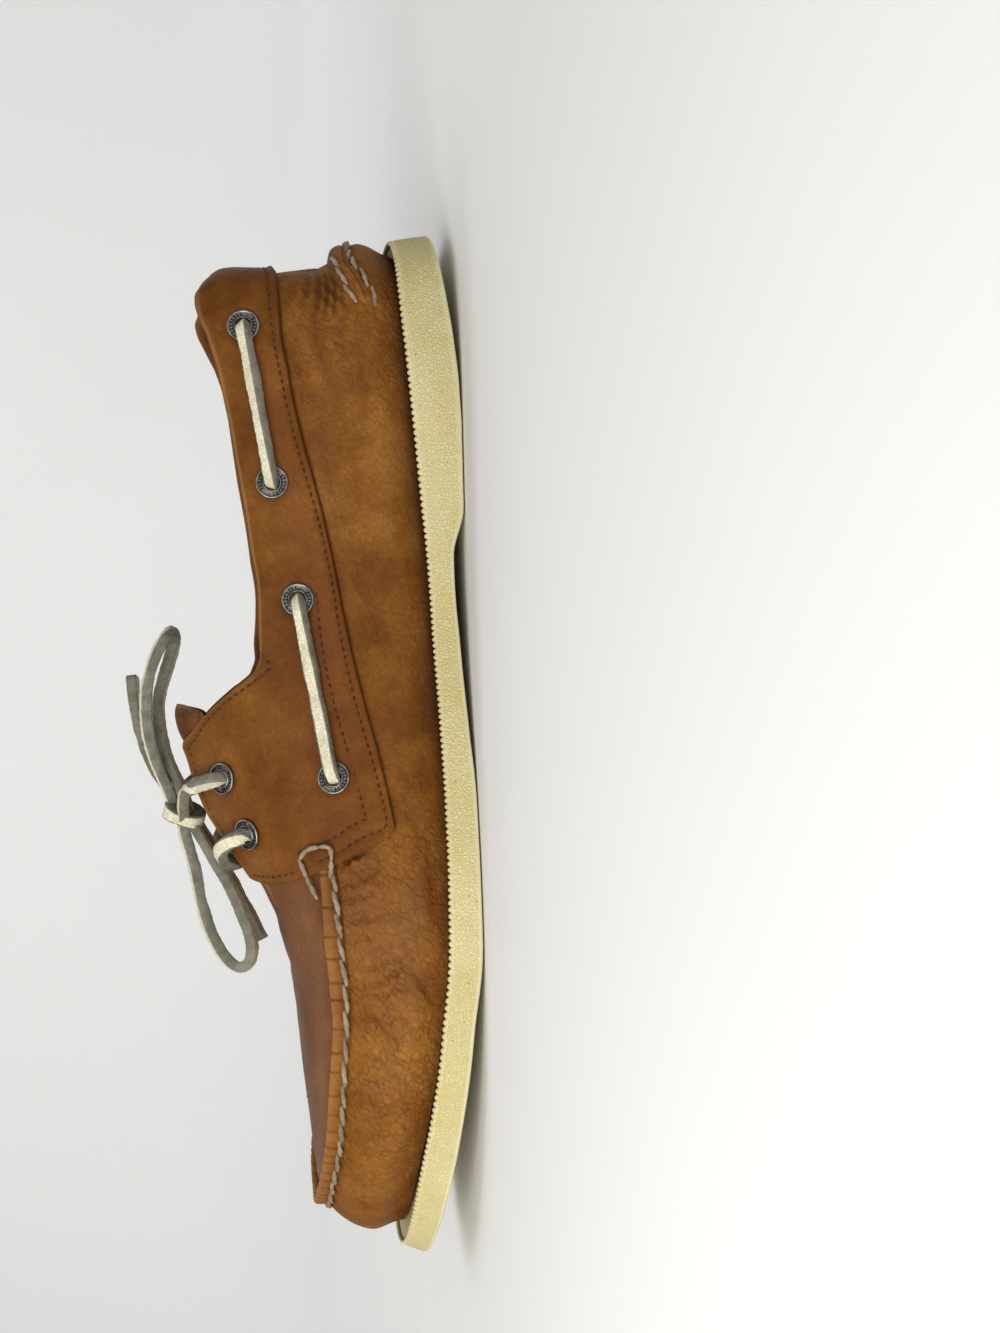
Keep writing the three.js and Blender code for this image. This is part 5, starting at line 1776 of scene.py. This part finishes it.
def make_tread():
    """The wave-cut tread: a pad whose grooves zigzag across the shoe."""
    wave_width, groove_pitch, columns = 7.0, 4.6, 170
    x = np.linspace(0, LENGTH, 520)
    outer = np.interp(x, *PLAN[:PLAN_STEPS].T)
    inner = np.interp(x, *PLAN[PLAN_STEPS - 1:][::-1].T)
    middle = (outer + inner) / 2
    shrink = TREAD_INSET + 0.15
    ends = np.minimum(x, LENGTH - x)
    half = np.maximum((outer - inner) / 2 - shrink, 0.0) * smoothstep(ends, 3.4, 6.0)
    keep = half > 0.5
    x, middle, half = x[keep], middle[keep], half[keep]
    across = np.linspace(-1, 1, columns)
    y = middle[:, None] + half[:, None] * across
    grid_x = np.repeat(x[:, None], columns, 1)
    zigzag = 2.1 * np.abs(((y / wave_width) % 1.0) * 2 - 1)
    groove = np.abs(((grid_x + zigzag) / groove_pitch) % 1.0 - 0.5) * groove_pitch
    cut = bell(groove, 0, 0.42)
    waist = bell(grid_x, 89, 6.5, 4)
    z = sole_bottom(grid_x) + 0.75 * cut * (1 - waist)
    rim = 1 - np.abs(across)[None] * np.ones_like(grid_x)
    z += 0.5 * (rim * half[:, None] < 0.3)
    top = sole_bottom(x) + TREAD_RECESS + 0.4
    lid = np.stack([np.repeat(x[:, None], 4, 1),
                    middle[:, None] + half[:, None] * np.array([1, 0.4, -0.4, -1]),
                    np.repeat(top[:, None], 4, 1)], -1)
    sections = np.concatenate([np.stack([grid_x, y, z], -1), lid], 1)
    dirt_and_shade = np.concatenate([0.12 + 0.7 * cut * (1 - waist), np.full((len(x), 4), 0.5)], 1)
    lofted("sole_tread", sections, False, RUBBER, "sole_rubber",
           looks={"pebbled": 0 * dirt_and_shade, "dirt_and_shade": dirt_and_shade, "edge": 0 * dirt_and_shade})


make_outsole()
make_teeth()
make_tread()

# ---- floor and light ----------------------------------------------------------------------


def backdrop_material():
    s = Shader("backdrop", Roughness=0.9, Specular_IOR_Level=0.1)
    cloud = s.noise(500, 2.0)
    return s.finish(s.mix(s.span(cloud, 0.3, 0.7), (0.80, 0.80, 0.79), (0.83, 0.83, 0.82)))


def make_backdrop():
    """A pale floor that curves up into a wall behind the shoe, in metres."""
    floor, front, bend_start, bend, height, half_width = -0.0004, 9.0, -0.9, 0.5, 5.0, 8.0
    profile = [(front, floor), (bend_start, floor)]
    profile += [(bend_start - bend * math.sin(a), bend - bend * math.cos(a))
                for a in np.linspace(0.1, math.pi / 2, 14)]
    profile.append((bend_start - bend, height))
    points = [(x, y, z) for y, z in profile for x in (-half_width, half_width)]
    mesh = bpy.data.meshes.new("backdrop")
    mesh.from_pydata(points, [], grid_faces(len(profile), 2))
    mesh.materials.append(backdrop_material())
    mesh.polygons.foreach_set("use_smooth", [True] * len(mesh.polygons))
    placed("backdrop", mesh)


# name, place, width and height, power, colour, and what it points at
LIGHTS = [
    ("key", (0.42, 0.62, 0.27), (0.5, 0.4), 4.2, (1.0, 0.98, 0.94), (0.12, 0.0, 0.03)),
    ("fill", (-1.1, 2.0, 1.1), (2.2, 2.2), 10.5, (1.0, 0.99, 0.97), (0.09, 0.0, 0.03)),
    ("wall", (0.0, -0.5, 1.4), (1.8, 1.0), 12.5, (1.0, 1.0, 1.0), (0.0, -1.4, 0.3)),
]
SKY_STRENGTH = 0.30


def make_light():
    world = bpy.data.worlds.new("soft_sky")
    world.use_nodes = True
    sky = world.node_tree.nodes["Background"].inputs
    sky["Color"].default_value = (1.0, 1.0, 1.0, 1)
    sky["Strength"].default_value = SKY_STRENGTH
    bpy.context.scene.world = world
    for name, place, size, power, colour, target in LIGHTS:
        data = bpy.data.lights.new(name, "AREA")
        data.shape = "RECTANGLE"
        data.size, data.size_y = size
        data.energy = power
        data.color = colour
        away = Vector(place) - Vector(target)
        turn = away.to_track_quat("Z", "Y").to_matrix().to_4x4()
        placed(name, data).matrix_world = Matrix.Translation(place) @ turn


make_backdrop()
make_light()
